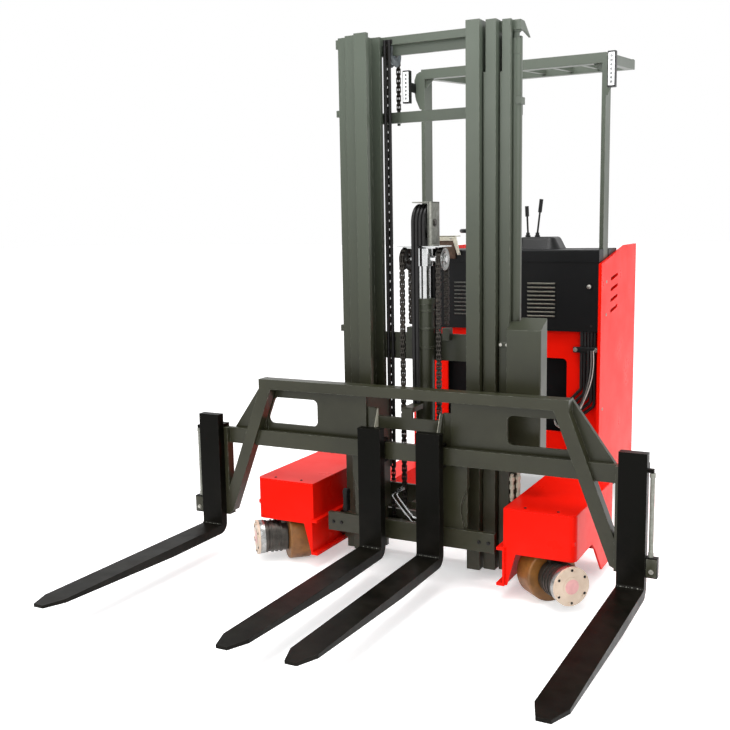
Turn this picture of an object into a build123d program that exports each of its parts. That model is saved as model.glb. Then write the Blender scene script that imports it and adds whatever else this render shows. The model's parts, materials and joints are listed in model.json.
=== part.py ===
from build123d import *
import os
from math import cos, radians, sin

os.makedirs("parts", exist_ok=True)

# A stand-on electric truck that drives ahead, sideways and round on the spot.
# Sizes are in millimetres. X runs across the truck, the forks point to -Y and +Z is up.
# Places along the truck are counted from the front face of the fork shanks, and at()
# moves them so that the middle of the truck's length lies at Y = 0.

# Driving sizes of the whole truck
blade_length = 1070.0
body_rear = 2040.0
body_front = 1275.0
body_half_width = 512.0
body_length = body_rear - body_front
guard_height = 2364.0
mast_height = 2300.0
mast_bottom = 46.0
slide_gap = 6.0
seat_gap = 0.3
run_fit = 0.05

# Forks
fork_width = 105.0
fork_thickness = 40.0
fork_tip_thickness = 12.0
fork_tip_width = 45.0
fork_tip_taper = 85.0
fork_blade_taper = 720.0
fork_top = 666.0
blade_top = 150.0
heel_radius = 48.0
inner_fork_x = 133.5
outer_fork_x = 954.5
lock_rod_offset = 17.0
lock_rod_z = (236.0, 609.0)
lock_knob = 44.0
lock_knob_z = (198.0, 274.0)
hook_lip = 14.0
hook_thickness = 11.0

# Wide fork frame on the lift carriage
frame_front = 41.0
top_bar_half = 703.0
top_bar_z = (793.0, 837.0)
top_bar_depth = 60.0
beam_half = 965.0
beam_y = (62.0, 112.0)
beam_z = (529.0, 600.0)
beam_lip = 22.0
beam_lip_height = 16.0
crossbar_half = 388.0
crossbar_z = (172.0, 253.0)
crossbar_depth = 22.0
crossbar_y = (90.0, 112.0)
strut_width = 58.0
strut_top_x = 639.0
strut_foot_x = 867.0
strut_foot_z = 210.0
strut_depth = 50.0
frame_plate_y = (101.0, 112.0)
window_x = 438.0
window_z = (629.0, 748.0)
window_radius = 24.0
hanger_x = (883.0, 958.0)
hanger_foot_z = 192.0

# Mast rails, from the inner stage to the outer one
rail_depth = 150.0
rail_flange = 22.0
rail_web = 16.0
rail_step_back = 30.0
rail_front = 205.0
rail_table = (
    # name, inner edge x, outer edge x, steps back
    ("inner", 222.0, 280.0, 0),
    ("mid", 286.0, 338.0, 1),
    ("outer", 344.0, 388.0, 2),
)
rail_notch_z = mast_height - 200.0
inner_tie_z = (916.0, 1033.0)
lower_tie_z = (930.0, 1020.0)
top_tie_height = 34.0
mid_top_tie_z = mast_height - 74.0
outer_web = (356.0, 364.0)
outer_cut_z = mast_height - 46.0
arm_clearance = 8.0
rail_notch_width = 9.0
roller_clearance = 1.0
carriage_plate_x = (196.0, 214.0)
carriage_roller_z = (330.0, 690.0)

# Free lift cylinder with its crosshead
lift_y = 285.0
lift_barrel_radius = 42.0
lift_rod_radius = 28.0
lift_barrel_z = (300.0, 1192.0)
crosshead_z = (1330.0, 1426.0)
sheave_x = 84.0
sheave_z = 1359.0
sheave_radius = 44.0
sheave_width = 26.0
chain_width = 22.0
chain_thickness = 14.0
chain_pitch = 19.05
chain_foot_z = 262.0
chain_anchor_z = 1076.0
hose_pulley_z = 1512.0
hose_pulley_radius = 62.0
hose_pulley_x = (-28.0, 38.0)
pulley_plate_x = (44.0, 49.0)
pulley_plate_half = 54.0
hose_radius = 8.0
hose_carriage_z = 745.0

# Chains that lift the inner stage when the mid stage rises
mast_sheave_x = 204.0
mast_sheave_y = 428.0
mast_sheave_z = mast_height - 62.0
mast_sheave_radius = 46.0
mast_chain_thickness = 10.0
mast_chain_anchor_z = mast_height - 310.0
mast_chain_foot_z = 140.0

# Side lift cylinders in the outer rails' mouths
side_barrel_x = 390.0
side_barrel_y = 324.0
side_barrel_radius = 25.0
side_rod_radius = 15.0
side_barrel_z = (216.0, mast_height - 70.0)
side_cap_height = 34.0
box_outer = 532.0
box_y = (230.0, 321.0)
box_z = (545.0, 1075.0, 1118.0)
box_wall = 6.0
side_arm_half = 24.0

# Legs with the load wheels
leg_inner = 441.0
leg_outer = 734.0
leg_front = 50.0
leg_box_rear = 640.0
leg_bottom = 62.0
leg_skirt_z = 196.0
leg_box_top = 382.0
leg_wall = 8.0
leg_cover = 6.0
leg_beam_outer = 560.0
channel_top = 222.0
channel_lip = 25.0
channel_flange = 12.0
kingpin_x = 588.0
kingpin_y = 150.0
kingpin_radius = 25.0
wheel_toe = 48.0
load_wheel_radius = 110.0
load_wheel_width = 100.0
load_axle_radius = 20.0
drum_radius = 70.0
hub_plate_radius = 78.0
hub_reach = 190.0
turntable_z = (244.0, 256.0)
turntable_radius = 80.0

# Reach frame that carries the mast along the legs
reach_plate_x = (388.0, 406.0)
reach_plate_z = (84.0, 200.0)
reach_plate_y = (270.0, 680.0)
reach_roller_y = (330.0, 600.0)
reach_stroke = 560.0
reach_rod_radius = 16.0
reach_barrel_radius = 30.0
reach_rod_z = 150.0
reach_barrel_front = 1258.0

# Body
panel_thickness = 15.0
floor_z = (230.0, 245.0)
base_bottom = 80.0
front_panel_y = (1290.0, 1302.0)
lower_panel_y = (1320.0, 1332.0)
lower_panel_z = (245.3, 951.0)
upper_panel_z = (955.0, 1305.7)
cover_z = (1306.0, 1366.0)
cover_rear = body_rear - 400.0
recess_half = 330.0
recess_z = (427.0, 811.0)
louvre_x = (127.0, 276.0)
louvre_z = (1030.0, 1196.0)
louvre_count = 9
slot_pitch = 55.0
slot_tilt = 8.0
slot_length = 150.0
slot_height = 16.0
guard_post_y = (1366.0, 1466.0)
guard_post_x = (474.0, 494.0)
guard_rear = body_rear - 50.0
guard_bar = 50.0
guard_rise = 45.0
lamp_x = (522.0, 560.0)
lamp_y = (1276.0, 1306.0)
lamp_plate_end = 533.0
lamp_z = (guard_height - 224.0, guard_height - 56.0)
partition_x = (-30.0, -12.0)
column_x = -235.0
column_y = 1560.0
drive_x = -250.0
drive_y = body_rear - 215.0
drive_plate_radius = 158.0
drive_wheel_radius = 150.0
drive_wheel_width = 90.0

mid_y = (body_rear - blade_length) / 2


def at(y):
    """Y in the truck's own frame of a place counted from the fork shanks."""
    return y - mid_y


def block(x, y, z, mode=Mode.ADD):
    """A box between two limits on each axis."""
    middle = ((x[0] + x[1]) / 2, at((y[0] + y[1]) / 2), (z[0] + z[1]) / 2)
    with Locations(middle):
        Box(x[1] - x[0], y[1] - y[0], z[1] - z[0], mode=mode)


def pair(x, y, z, mode=Mode.ADD):
    """The same box on the right and on the left."""
    block(x, y, z, mode)
    block((-x[1], -x[0]), y, z, mode)


def outline_yz(points, x, mode=Mode.ADD):
    """A plate across X whose outline is given in Y and Z."""
    with BuildSketch(Plane.YZ.offset(x[0])) as face:
        with BuildLine():
            Polyline(*[(at(y), z) for y, z in points], close=True)
        make_face()
    extrude(face.sketch, amount=x[1] - x[0], mode=mode)


def outline_xz(points, y, mode=Mode.ADD, radius=0.0):
    """A plate across Y whose outline is given in X and Z, with rounded corners."""
    with BuildSketch(Plane(origin=(0, at(y[1]), 0), x_dir=(1, 0, 0), z_dir=(0, -1, 0))) as face:
        with BuildLine():
            Polyline(*points, close=True)
        make_face()
        if radius:
            fillet(face.vertices(), radius)
    extrude(face.sketch, amount=y[1] - y[0], mode=mode)


def mirrored_xz(points, y, mode=Mode.ADD, radius=0.0):
    outline_xz(points, y, mode, radius)
    outline_xz([(-x, z) for x, z in points], y, mode, radius)


def along_x(x, y, z, radius, mode=Mode.ADD):
    with Locations(Location(((x[0] + x[1]) / 2, at(y), z), (0, 90, 0))):
        Cylinder(radius, x[1] - x[0], mode=mode)


def along_y(x, y, z, radius, mode=Mode.ADD):
    with Locations(Location((x, at((y[0] + y[1]) / 2), z), (90, 0, 0))):
        Cylinder(radius, y[1] - y[0], mode=mode)


def along_z(x, y, z, radius, mode=Mode.ADD):
    with Locations((x, at(y), (z[0] + z[1]) / 2)):
        Cylinder(radius, z[1] - z[0], mode=mode)


def hose(points, radius, bend):
    """A round hose along straight runs joined by arcs."""
    with BuildLine() as path:
        FilletPolyline(*[(x, at(y), z) for x, y, z in points], radius=bend)
    with BuildSketch(Plane(origin=path.line @ 0, z_dir=path.line % 0)) as section:
        Circle(radius)
    sweep(section.sketch, path=path.line)


def keep(builder, name):
    builder.part.label = name
    export_step(builder.part, f"parts/{name}.step")


def make_fork(name, centre_x, sliding):
    """An L-shaped fork with a tapered blade. A sliding one is also hooked under the beam."""
    blade_bottom = blade_top - fork_thickness
    tip = -blade_length
    with BuildPart() as fork:
        with BuildSketch(Plane.YZ.offset(centre_x - fork_width / 2)) as side:
            with BuildLine():
                Polyline(
                    (at(0), fork_top),
                    (at(fork_thickness), fork_top),
                    (at(fork_thickness), blade_bottom),
                    (at(tip + fork_blade_taper), blade_bottom),
                    (at(tip), blade_top - fork_tip_thickness),
                    (at(tip), blade_top),
                    (at(0), blade_top),
                    close=True,
                )
            make_face()
            heel = side.vertices().sort_by_distance((at(fork_thickness), blade_bottom))[0]
            fillet(heel, heel_radius)
            throat = side.vertices().sort_by_distance((at(0), blade_top))[0]
            fillet(throat, heel_radius / 4)
        extrude(side.sketch, amount=fork_width)
        for side_sign in (-1, 1):
            edge = centre_x + side_sign * fork_width / 2
            point = centre_x + side_sign * fork_tip_width / 2
            with BuildSketch(Plane.XY.offset(blade_bottom)) as corner:
                with BuildLine():
                    Polyline(
                        (point, at(tip)),
                        (edge, at(tip)),
                        (edge, at(tip + fork_tip_taper)),
                        close=True,
                    )
                make_face()
            extrude(corner.sketch, amount=fork_thickness, mode=Mode.SUBTRACT)
        hook = (centre_x - fork_width / 2 + 8, centre_x + fork_width / 2 - 8)
        bar = beam_y[0] + beam_lip + seat_gap
        behind = (bar, bar + hook_thickness)
        over = (fork_thickness - 1, behind[1])
        top = beam_z[1] + seat_gap
        foot = beam_z[0] - seat_gap
        block(hook, over, (top, top + hook_lip))
        block(hook, behind, (beam_z[1] - beam_lip_height + 4, top + 1))
        if sliding:
            pad = (fork_thickness - 1, beam_y[0] - seat_gap)
            block(hook, pad, (beam_z[1] - 40, top + 1))
            block(hook, over, (foot - hook_lip, foot))
            block(hook, behind, (foot - 1, beam_z[0] + beam_lip_height - 4))
            block(hook, pad, (foot - 1, beam_z[0] + 20))
        else:
            side_sign = 1 if centre_x > 0 else -1
            edge = abs(centre_x) + fork_width / 2
            tab = sorted((side_sign * (edge - 1), side_sign * (edge + lock_rod_offset + 5)))
            knob = sorted((side_sign * (edge - 1), side_sign * (edge + lock_knob)))
            along_z(side_sign * (edge + lock_rod_offset), fork_thickness / 2, lock_rod_z, 4.5)
            block(tab, (12, 28), (lock_rod_z[1] - 14, lock_rod_z[1]))
            block(knob, (5, 35), lock_knob_z)
    keep(fork, name)


def make_forks():
    for name, centre_x, sliding in (
        ("fork_inner_left", -inner_fork_x, True),
        ("fork_inner_right", inner_fork_x, True),
        ("fork_outer_left", -outer_fork_x, False),
        ("fork_outer_right", outer_fork_x, False),
    ):
        make_fork(name, centre_x, sliding)


def make_fork_frame():
    """The wide frame: top bar, long beam, struts, window plates and rear gussets."""
    bar_y = (frame_front, frame_front + top_bar_depth)
    strut_y = (frame_front, frame_front + strut_depth)
    strut_slope = (strut_foot_x - strut_top_x) / (top_bar_z[0] - strut_foot_z)
    sill = strut_top_x + strut_slope * (top_bar_z[0] - window_z[0])
    head = strut_top_x + strut_slope * (top_bar_z[0] - window_z[1])
    with BuildPart() as frame:
        block((-top_bar_half, top_bar_half), bar_y, top_bar_z)
        lip_back = beam_y[0] + beam_lip
        outline_yz(
            (
                (beam_y[0], beam_z[0]),
                (lip_back, beam_z[0]),
                (lip_back, beam_z[0] + beam_lip_height),
                (beam_y[1], beam_z[0] + beam_lip_height),
                (beam_y[1], beam_z[1] - beam_lip_height),
                (lip_back, beam_z[1] - beam_lip_height),
                (lip_back, beam_z[1]),
                (beam_y[0], beam_z[1]),
            ),
            (-beam_half, beam_half),
        )
        mirrored_xz(
            (
                (strut_top_x, top_bar_z[0] + 10),
                (strut_top_x + strut_width, top_bar_z[0] + 10),
                (strut_foot_x + strut_width, strut_foot_z),
                (hanger_x[0] + 20, hanger_foot_z),
                (strut_foot_x, strut_foot_z),
            ),
            strut_y,
        )
        pair(hanger_x, (fork_thickness + seat_gap, lip_back), (hanger_foot_z, beam_z[1]))
        mirrored_xz(
            (
                (carriage_plate_x[0], beam_z[1] - 25),
                (carriage_plate_x[0], top_bar_z[0] + 5),
                (strut_top_x + 20, top_bar_z[0] + 5),
                (strut_top_x + 20 + strut_slope * (top_bar_z[0] - beam_z[1]), beam_z[1] - 25),
            ),
            frame_plate_y,
        )
        mirrored_xz(
            ((window_x, window_z[0]), (window_x, window_z[1]), (head, window_z[1]), (sill, window_z[0])),
            (frame_plate_y[0] - 5, frame_plate_y[1] + 5),
            Mode.SUBTRACT,
            window_radius,
        )
        mirrored_xz(
            ((top_bar_half - 5, beam_z[1] - 25), (top_bar_half - 5, top_bar_z[1]), (886, beam_z[1] - 25)),
            (frame_plate_y[0] - 12, frame_plate_y[1]),
        )
    keep(frame, "fork_frame")


def make_carriage():
    """Roller plates, lower crossbar, notched plates and the small upper bar."""
    plate_z = (crossbar_z[0] + 80, top_bar_z[0] - 5)
    back = (beam_y[1] + seat_gap, beam_y[1] + seat_gap + 12)
    chain_y = lift_y - sheave_radius
    notch_z = 335.0
    with BuildPart() as carriage:
        for side in (-1, 1):
            plate = sorted((side * carriage_plate_x[0], side * carriage_plate_x[1]))
            block(plate, (back[0], rail_front + rail_depth - 25), plate_z)
        block((-crossbar_half, crossbar_half), crossbar_y, crossbar_z)
        mirrored_xz(
            (
                (150, crossbar_z[0]),
                (262, crossbar_z[0]),
                (256, 235),
                (239, notch_z - 15),
                (240, notch_z + 25),
                (266, 430),
                (266, beam_z[0] - seat_gap),
                (150, beam_z[0] - seat_gap),
            ),
            (frame_plate_y[0], back[1]),
        )
        pair((158, 262), (beam_y[1] + seat_gap, beam_y[1] + 12), (crossbar_z[1], 735))
        pair((152, 262), (beam_y[1] + seat_gap, beam_y[1] + 28), (605, 731))
        block((-262, 262), (beam_y[1] + seat_gap, beam_y[1] + 14), (648, 700))
        for side in (-1, 1):
            ear = sorted((side * 146, side * 158))
            outline_yz(((75, 655), (beam_y[1] + 5, 648), (beam_y[1] + 5, 732), (108, 732)), ear)
            foot_x = side * sheave_x
            block((foot_x - 15, foot_x + 15), (crossbar_y[1] - 1, chain_y + 12), (200, 216))
            block((foot_x - 9, foot_x + 9), (chain_y - 9, chain_y + 9), (215, chain_foot_z - seat_gap))
        hose_y = lift_y - hose_pulley_radius - hose_radius - 1
        block((hose_pulley_x[0] - 4, hose_pulley_x[0] + 44), (beam_y[1] + 5, hose_y + 14), (724, hose_carriage_z - seat_gap))
        block((hose_pulley_x[0] - 4, hose_pulley_x[0] + 44), (beam_y[1] + seat_gap, beam_y[1] + 12), (690, 740))
    keep(carriage, "carriage")


def make_carriage_rollers():
    """Four rollers that run inside the inner rails, on stub axles in the plates."""
    channel = rail_depth - 2 * rail_flange
    radius = channel / 2 - roller_clearance
    middle = rail_front + rail_depth / 2
    inner_web = rail_table[0][2] - rail_web
    with BuildPart() as rollers:
        for side in (-1, 1):
            for z in carriage_roller_z:
                along_x(sorted((side * (carriage_plate_x[1] + 4), side * (inner_web - 4))), middle, z, radius)
                along_x(sorted((side * (carriage_plate_x[1] + seat_gap), side * (inner_web - 8))), middle, z, 18)
    keep(rollers, "carriage_rollers")


def rail_outline(inner, outer, front):
    """One rail: a C section with its mouth to the truck's middle."""
    web = outer - rail_web
    back = front + rail_depth
    return (
        (inner, front),
        (outer, front),
        (outer, back),
        (inner, back),
        (inner, back - rail_flange),
        (web, back - rail_flange),
        (web, front + rail_flange),
        (inner, front + rail_flange),
    )


def rails(name, inner, outer, steps, bottom):
    """Both rails of a mast stage, with the front flange cut back near the top."""
    front = rail_front + steps * rail_step_back
    for side in (-1, 1):
        with BuildSketch(Plane.XY.offset(bottom)) as section:
            with BuildLine():
                Polyline(*[(side * x, at(y)) for x, y in rail_outline(inner, outer, front)], close=True)
            make_face()
        extrude(section.sketch, amount=mast_height - bottom)
        if steps:
            block(
                sorted((side * (inner - 1), side * (inner + rail_notch_width))),
                (front - 1, front + rail_flange + 1),
                (rail_notch_z, mast_height + 1),
                Mode.SUBTRACT,
            )


def stage_rollers(inner_of_next, outer_edge, steps, heights):
    """Stub rollers on the outside of a stage that run in the next stage's rails."""
    middle = rail_front + (steps + 1) * rail_step_back + rail_depth / 2
    radius = rail_depth / 2 - rail_flange - roller_clearance
    reach = inner_of_next
    for side in (-1, 1):
        for z in heights:
            along_x(sorted((side * outer_edge, side * reach)), middle, z, radius)


def make_inner_mast():
    name, inner, outer, steps = rail_table[0]
    back = rail_front + rail_depth
    with BuildPart() as stage:
        rails(name, inner, outer, steps, mast_bottom)
        block((-outer, outer), (back - 1, back + 15), (mast_height - top_tie_height, mast_height))
        block((-outer, outer), (back - 1, back + 15), inner_tie_z)
        block((-outer, outer), (back - 1, back + 15), (262, 342))
        block((-outer, outer), (back - 1, back + 15), (90, 170))
        next_web = rail_table[1][2] - rail_web
        stage_rollers(next_web - 4, outer - 1, steps, (140,))
        block((-48, 48), (lift_y - 48, back + 2), (270, lift_barrel_z[0] - seat_gap))
        for side in (-1, 1):
            foot = side * mast_sheave_x
            block((foot - 14, foot + 14), (back + 14, back + 26), (110, mast_chain_foot_z - seat_gap))
        for side in (-1, 1):
            block(
                sorted((side * (sheave_x - 16), side * (sheave_x + 16))),
                (lift_y + sheave_radius - 14, back),
                (inner_tie_z[1] - 24, chain_anchor_z - 14),
            )
    keep(stage, "mast_inner")


def make_mid_mast():
    name, inner, outer, steps = rail_table[1]
    back = rail_front + steps * rail_step_back + rail_depth
    with BuildPart() as stage:
        rails(name, inner, outer, steps, mast_bottom)
        tie = (back - 1, back + 15)
        block((-outer, outer), tie, (mid_top_tie_z, mast_height))
        block((-outer, outer), tie, (120, 210))
        block((-outer, outer), tie, lower_tie_z)
        pocket = (mast_sheave_x - 19, mast_sheave_x + 19)
        top = mast_sheave_z + mast_sheave_radius + mast_chain_thickness + 5
        pair(pocket, (back - 2, back + 16), (mid_top_tie_z - 1, top), Mode.SUBTRACT)
        pair((pocket[1], pocket[1] + 8), (back, mast_sheave_y + 22), (mast_sheave_z - 25, top))
        stage_rollers(outer_web[0] - 4, outer - 1, steps, (150,))
        arm_z = (outer_cut_z + arm_clearance, mast_height)
        arm_y = (side_barrel_y - side_arm_half, side_barrel_y + side_arm_half)
        arm_end = side_barrel_x + side_barrel_radius + 3
        pair((outer - 1, arm_end), arm_y, arm_z)
        for side in (-1, 1):
            outline_yz(
                ((arm_y[1] - 1, arm_z[0]), (arm_y[1] - 1, arm_z[1]), (arm_y[1] + 76, arm_z[0] - 14)),
                sorted((side * (arm_end - 8), side * arm_end)),
            )
            x = side * side_barrel_x
            rod_top = arm_z[0] + 1
            along_z(x, side_barrel_y, (side_barrel_z[0] + 40, rod_top), side_rod_radius)
            along_z(x, side_barrel_y, (side_barrel_z[1] + side_cap_height - 8, rod_top), side_rod_radius + 5)
    keep(stage, "mast_mid")


def make_mast_chains():
    """Two chains over the mid stage's sheaves, from the outer stage to the inner one's foot."""
    half = mast_chain_thickness / 2
    axle = (mast_sheave_x - 19 - 6, mast_sheave_x + 19 + 6)
    front = mast_sheave_y - mast_sheave_radius - half
    rear = mast_sheave_y + mast_sheave_radius + half
    with BuildPart() as sheaves:
        for side in (-1, 1):
            x = side * mast_sheave_x
            along_x((x - 12, x + 12), mast_sheave_y, mast_sheave_z, mast_sheave_radius - seat_gap)
            along_x((x - 14, x - 12), mast_sheave_y, mast_sheave_z, mast_sheave_radius + 4)
            along_x((x + 12, x + 14), mast_sheave_y, mast_sheave_z, mast_sheave_radius + 4)
            along_x((x - 18.7, x + 18.7), mast_sheave_y, mast_sheave_z, 13)
            chain_bight(x, mast_sheave_y, mast_sheave_z, mast_sheave_radius, 2 * half, 20)
    keep(sheaves, "mast_sheaves")

    with BuildPart() as runs:
        for side in (-1, 1):
            x = side * mast_sheave_x
            chain_run(x, front, (mast_chain_foot_z, mast_sheave_z - seat_gap), 20, 2 * half)
    keep(runs, "mast_chain_front_runs")

    with BuildPart() as runs:
        for side in (-1, 1):
            x = side * mast_sheave_x
            chain_run(x, rear, (mast_chain_anchor_z, mast_sheave_z - seat_gap), 20, 2 * half)
    keep(runs, "mast_chain_rear_runs")


def make_outer_mast():
    """The fixed stage: each rail is an I section, open outward for the side barrel."""
    name, inner, outer, steps = rail_table[2]
    front = rail_front + steps * rail_step_back
    back = front + rail_depth
    bottom = mast_bottom - 4
    with BuildPart() as stage:
        pair(outer_web, (front, back), (bottom, mast_height))
        pair((inner, outer), (front, front + rail_flange), (bottom, mast_height))
        pair((inner, outer), (back - rail_flange, back), (bottom, mast_height))
        cut = (front + rail_flange, back + 1)
        pair((inner - 1, outer + 1), cut, (outer_cut_z, mast_height + 1), Mode.SUBTRACT)
        pair((inner - 1, inner + rail_notch_width), (front - 1, front + rail_flange + 1), (rail_notch_z, mast_height + 1), Mode.SUBTRACT)
        tie = (back - 10, back + slide_gap)
        block((-outer, outer), tie, (mast_chain_anchor_z - 46, mast_chain_anchor_z))
        block((-outer, outer), tie, lower_tie_z)
        block((-outer, outer), tie, (mast_bottom + 14, 190))
        chain_y = mast_sheave_y + mast_sheave_radius + mast_chain_thickness / 2
        for side in (-1, 1):
            x = side * mast_sheave_x
            block((x - 10, x + 10), (back + 5, chain_y + 8), (mast_chain_anchor_z - 40, mast_chain_anchor_z - 24))
            along_z(x, chain_y, (mast_chain_anchor_z - 50, mast_chain_anchor_z - seat_gap), 7)
        foot_z = (side_barrel_z[0] - 12, side_barrel_z[0] - seat_gap)
        pair((outer_web[1] - 1, side_barrel_x + side_rod_radius), (front + 2, back - 2), foot_z)
    keep(stage, "mast_outer")


def make_side_barrels():
    """Two long lift barrels in the outer rails' mouths, with gland caps and clamps."""
    clamp = (outer_web[1] + seat_gap, side_barrel_x + side_barrel_radius + 6)
    clamp_y = (side_barrel_y - side_barrel_radius + 1, side_barrel_y + side_barrel_radius - 1)
    with BuildPart() as barrels:
        for side in (-1, 1):
            x = side * side_barrel_x
            top = side_barrel_z[1]
            along_z(x, side_barrel_y, side_barrel_z, side_barrel_radius)
            along_z(x, side_barrel_y, (top - 60, top), side_barrel_radius + 1)
        for z in (mast_height - 325, box_z[1] - 40):
            pair(clamp, clamp_y, (z, z + 28))
        for side in (-1, 1):
            x = side * side_barrel_x
            bore = (side_barrel_z[0] + 20, side_barrel_z[1] + 1)
            along_z(x, side_barrel_y, bore, side_rod_radius + run_fit, Mode.SUBTRACT)
    keep(barrels, "side_lift_barrels")


def make_mast_box():
    """The tall cover on the right of the mast, with a slanted lid, open at the barrel."""
    x = (rail_table[2][2] + seat_gap, box_outer)
    low, front_top, rear_top = box_z
    wall = box_wall
    hollow = ((box_y[0] + wall, low - 1), (box_y[1] - wall, low - 1), (box_y[1] - wall, rear_top - 8), (box_y[0] + wall, front_top - 4))
    with BuildPart() as box:
        outline_yz(((box_y[0], low), (box_y[1], low), (box_y[1], rear_top), (box_y[0], front_top)), x)
        outline_yz(hollow, (x[0] + wall, x[1] - wall), Mode.SUBTRACT)
        fillet(box.edges().filter_by(Axis.Z).sort_by(Axis.X)[-2:], 8)
        mouth = side_barrel_x + side_barrel_radius + 8
        clear = side_barrel_y - side_barrel_radius - 6
        block((x[0] - 1, mouth), (clear, box_y[1] + 1), (low - 2, rear_top + 1), Mode.SUBTRACT)
    keep(box, "mast_side_box")


def make_free_lift():
    """Barrel on the inner stage, then rod, crosshead, sheaves and hose pulley."""
    with BuildPart() as barrel:
        along_z(0, lift_y, lift_barrel_z, lift_barrel_radius)
        for z in (inner_tie_z[1] - 50, inner_tie_z[1] + 30, lift_barrel_z[1] - 52):
            along_z(0, lift_y, (z - 5, z + 5), lift_barrel_radius + 3)
        along_z(0, lift_y, (lift_barrel_z[1] - 24, lift_barrel_z[1]), lift_barrel_radius + 4)
        along_z(0, lift_y, (lift_barrel_z[0] + 20, lift_barrel_z[1] + 1), lift_rod_radius + run_fit, Mode.SUBTRACT)
    keep(barrel, "free_lift_barrel")

    with BuildPart() as rod:
        along_z(0, lift_y, (lift_barrel_z[0] + 30, crosshead_z[0] + 10), lift_rod_radius)
        along_z(0, lift_y, (crosshead_z[0], crosshead_z[1] - 22), lift_barrel_radius - 4)
        along_x((-sheave_x - 20, sheave_x + 20), lift_y, sheave_z, 15)
        block((-66, 66), (lift_y - 34, lift_y + 34), (crosshead_z[1] - 22, crosshead_z[1] - 16))
        block((-104, 104), (lift_y - 52, lift_y + 52), (crosshead_z[1] - 16, crosshead_z[1] - 11))
    keep(rod, "free_lift_head")

    with BuildPart() as sheaves:
        for side in (-1, 1):
            x = side * sheave_x
            wide = sheave_width / 2
            along_x((x - wide, x + wide), lift_y, sheave_z, sheave_radius - chain_thickness / 2 - seat_gap)
            along_x((x - wide, x - wide + 2), lift_y, sheave_z, sheave_radius + 4)
            along_x((x + wide - 2, x + wide), lift_y, sheave_z, sheave_radius + 4)
            along_x((x - wide - 1, x + wide + 1), lift_y, sheave_z, 15 + run_fit, Mode.SUBTRACT)
            inner_radius = sheave_radius - chain_thickness / 2
            chain_bight(x, lift_y, sheave_z, inner_radius, chain_thickness, chain_width - 1)
    keep(sheaves, "lift_sheaves")

    with BuildPart() as pulley:
        along_x(hose_pulley_x, lift_y, hose_pulley_z, hose_pulley_radius)
        along_x((hose_pulley_x[0], pulley_plate_x[1] + 4), lift_y, hose_pulley_z, 12)
        front = lift_y - pulley_plate_half
        rear = lift_y + pulley_plate_half
        top = hose_pulley_z + hose_pulley_radius + 2 * hose_radius + 4
        foot = crosshead_z[1] - 11 + seat_gap
        block(pulley_plate_x, (front, rear), (foot, top + 5))
        block((hose_pulley_x[0] - 3, pulley_plate_x[1]), (front, rear), (top, top + 5))
        block((pulley_plate_x[0] - 4, pulley_plate_x[1] + 9), (front, front + 5), (foot, top + 5))
    keep(pulley, "hose_pulley")


def chain_run(x, y, z, width, thickness):
    """One straight run of leaf chain: a core with a plate at every second pitch."""
    block((x - width / 2, x + width / 2), (y - thickness / 4, y + thickness / 4), z)
    links = int((z[1] - z[0]) / (2 * chain_pitch))
    with Locations(*[(x, at(y), z[0] + chain_pitch * (2 * i + 1)) for i in range(links)]):
        Box(width - 4, thickness, chain_pitch * 1.1)


def chain_bight(x, y, z, inner_radius, thickness, width):
    """The half turn of chain over a sheave."""
    with BuildSketch(Plane.YZ.offset(x - width / 2)) as arch:
        with Locations((at(y), z)):
            Circle(inner_radius + thickness)
            Circle(inner_radius, mode=Mode.SUBTRACT)
        with Locations((at(y), z - inner_radius)):
            Rectangle(4 * inner_radius, 2 * inner_radius, mode=Mode.SUBTRACT)
    extrude(arch.sketch, amount=width)


def make_lift_chains():
    """Front runs down to the carriage and rear runs down to the inner stage."""
    with BuildPart() as runs:
        for side in (-1, 1):
            y = lift_y - sheave_radius
            chain_run(side * sheave_x, y, (chain_foot_z, sheave_z - seat_gap), chain_width, chain_thickness)
    keep(runs, "chain_front_runs")

    with BuildPart() as runs:
        for side in (-1, 1):
            y = lift_y + sheave_radius
            chain_run(side * sheave_x, y, (chain_anchor_z, sheave_z - seat_gap), chain_width, chain_thickness)
    keep(runs, "chain_rear_runs")


def make_pulley_hoses():
    """Four hoses over the pulley: two go on to the carriage, two end at the crosshead."""
    wrap = hose_pulley_radius + hose_radius + 1
    front = lift_y - wrap
    rear = lift_y + wrap
    places = [hose_pulley_x[0] + hose_radius + 1 + 2.02 * hose_radius * i for i in range(4)]
    with BuildPart() as bights:
        for x in places:
            with BuildLine() as path:
                ThreePointArc(
                    (x, at(front), hose_pulley_z),
                    (x, at(lift_y), hose_pulley_z + wrap),
                    (x, at(rear), hose_pulley_z),
                )
            with BuildSketch(Plane(origin=path.line @ 0, z_dir=path.line % 0)) as section:
                Circle(hose_radius)
            sweep(section.sketch, path=path.line)
        for x in places[2:]:
            along_z(x, front, (crosshead_z[1] - 11 + seat_gap, hose_pulley_z), hose_radius)
    keep(bights, "hose_bights")

    with BuildPart() as runs:
        for x in places[:2]:
            along_z(x, front, (hose_carriage_z, hose_pulley_z - seat_gap), hose_radius)
    keep(runs, "hose_front_runs")

    with BuildPart() as runs:
        for x in places:
            along_z(x, rear, (inner_tie_z[1] + seat_gap, hose_pulley_z - seat_gap), hose_radius)
    keep(runs, "hose_rear_runs")


def make_mast_hoses():
    """Two hoses up the left of the inner stage, clipped to its ties."""
    radius = 7.0
    back = rail_front + rail_depth
    with BuildPart() as hoses:
        for x in (-205, -183):
            y = back - radius - 2
            along_z(x, y, (420, mast_height - 14), radius)
        for z in (inner_tie_z[0] + 20, inner_tie_z[1] - 40, mast_height - 30):
            block((-216, -172), (back - 4, back - 1 - seat_gap), (z, z + 18))
    keep(hoses, "mast_hoses")


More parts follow.
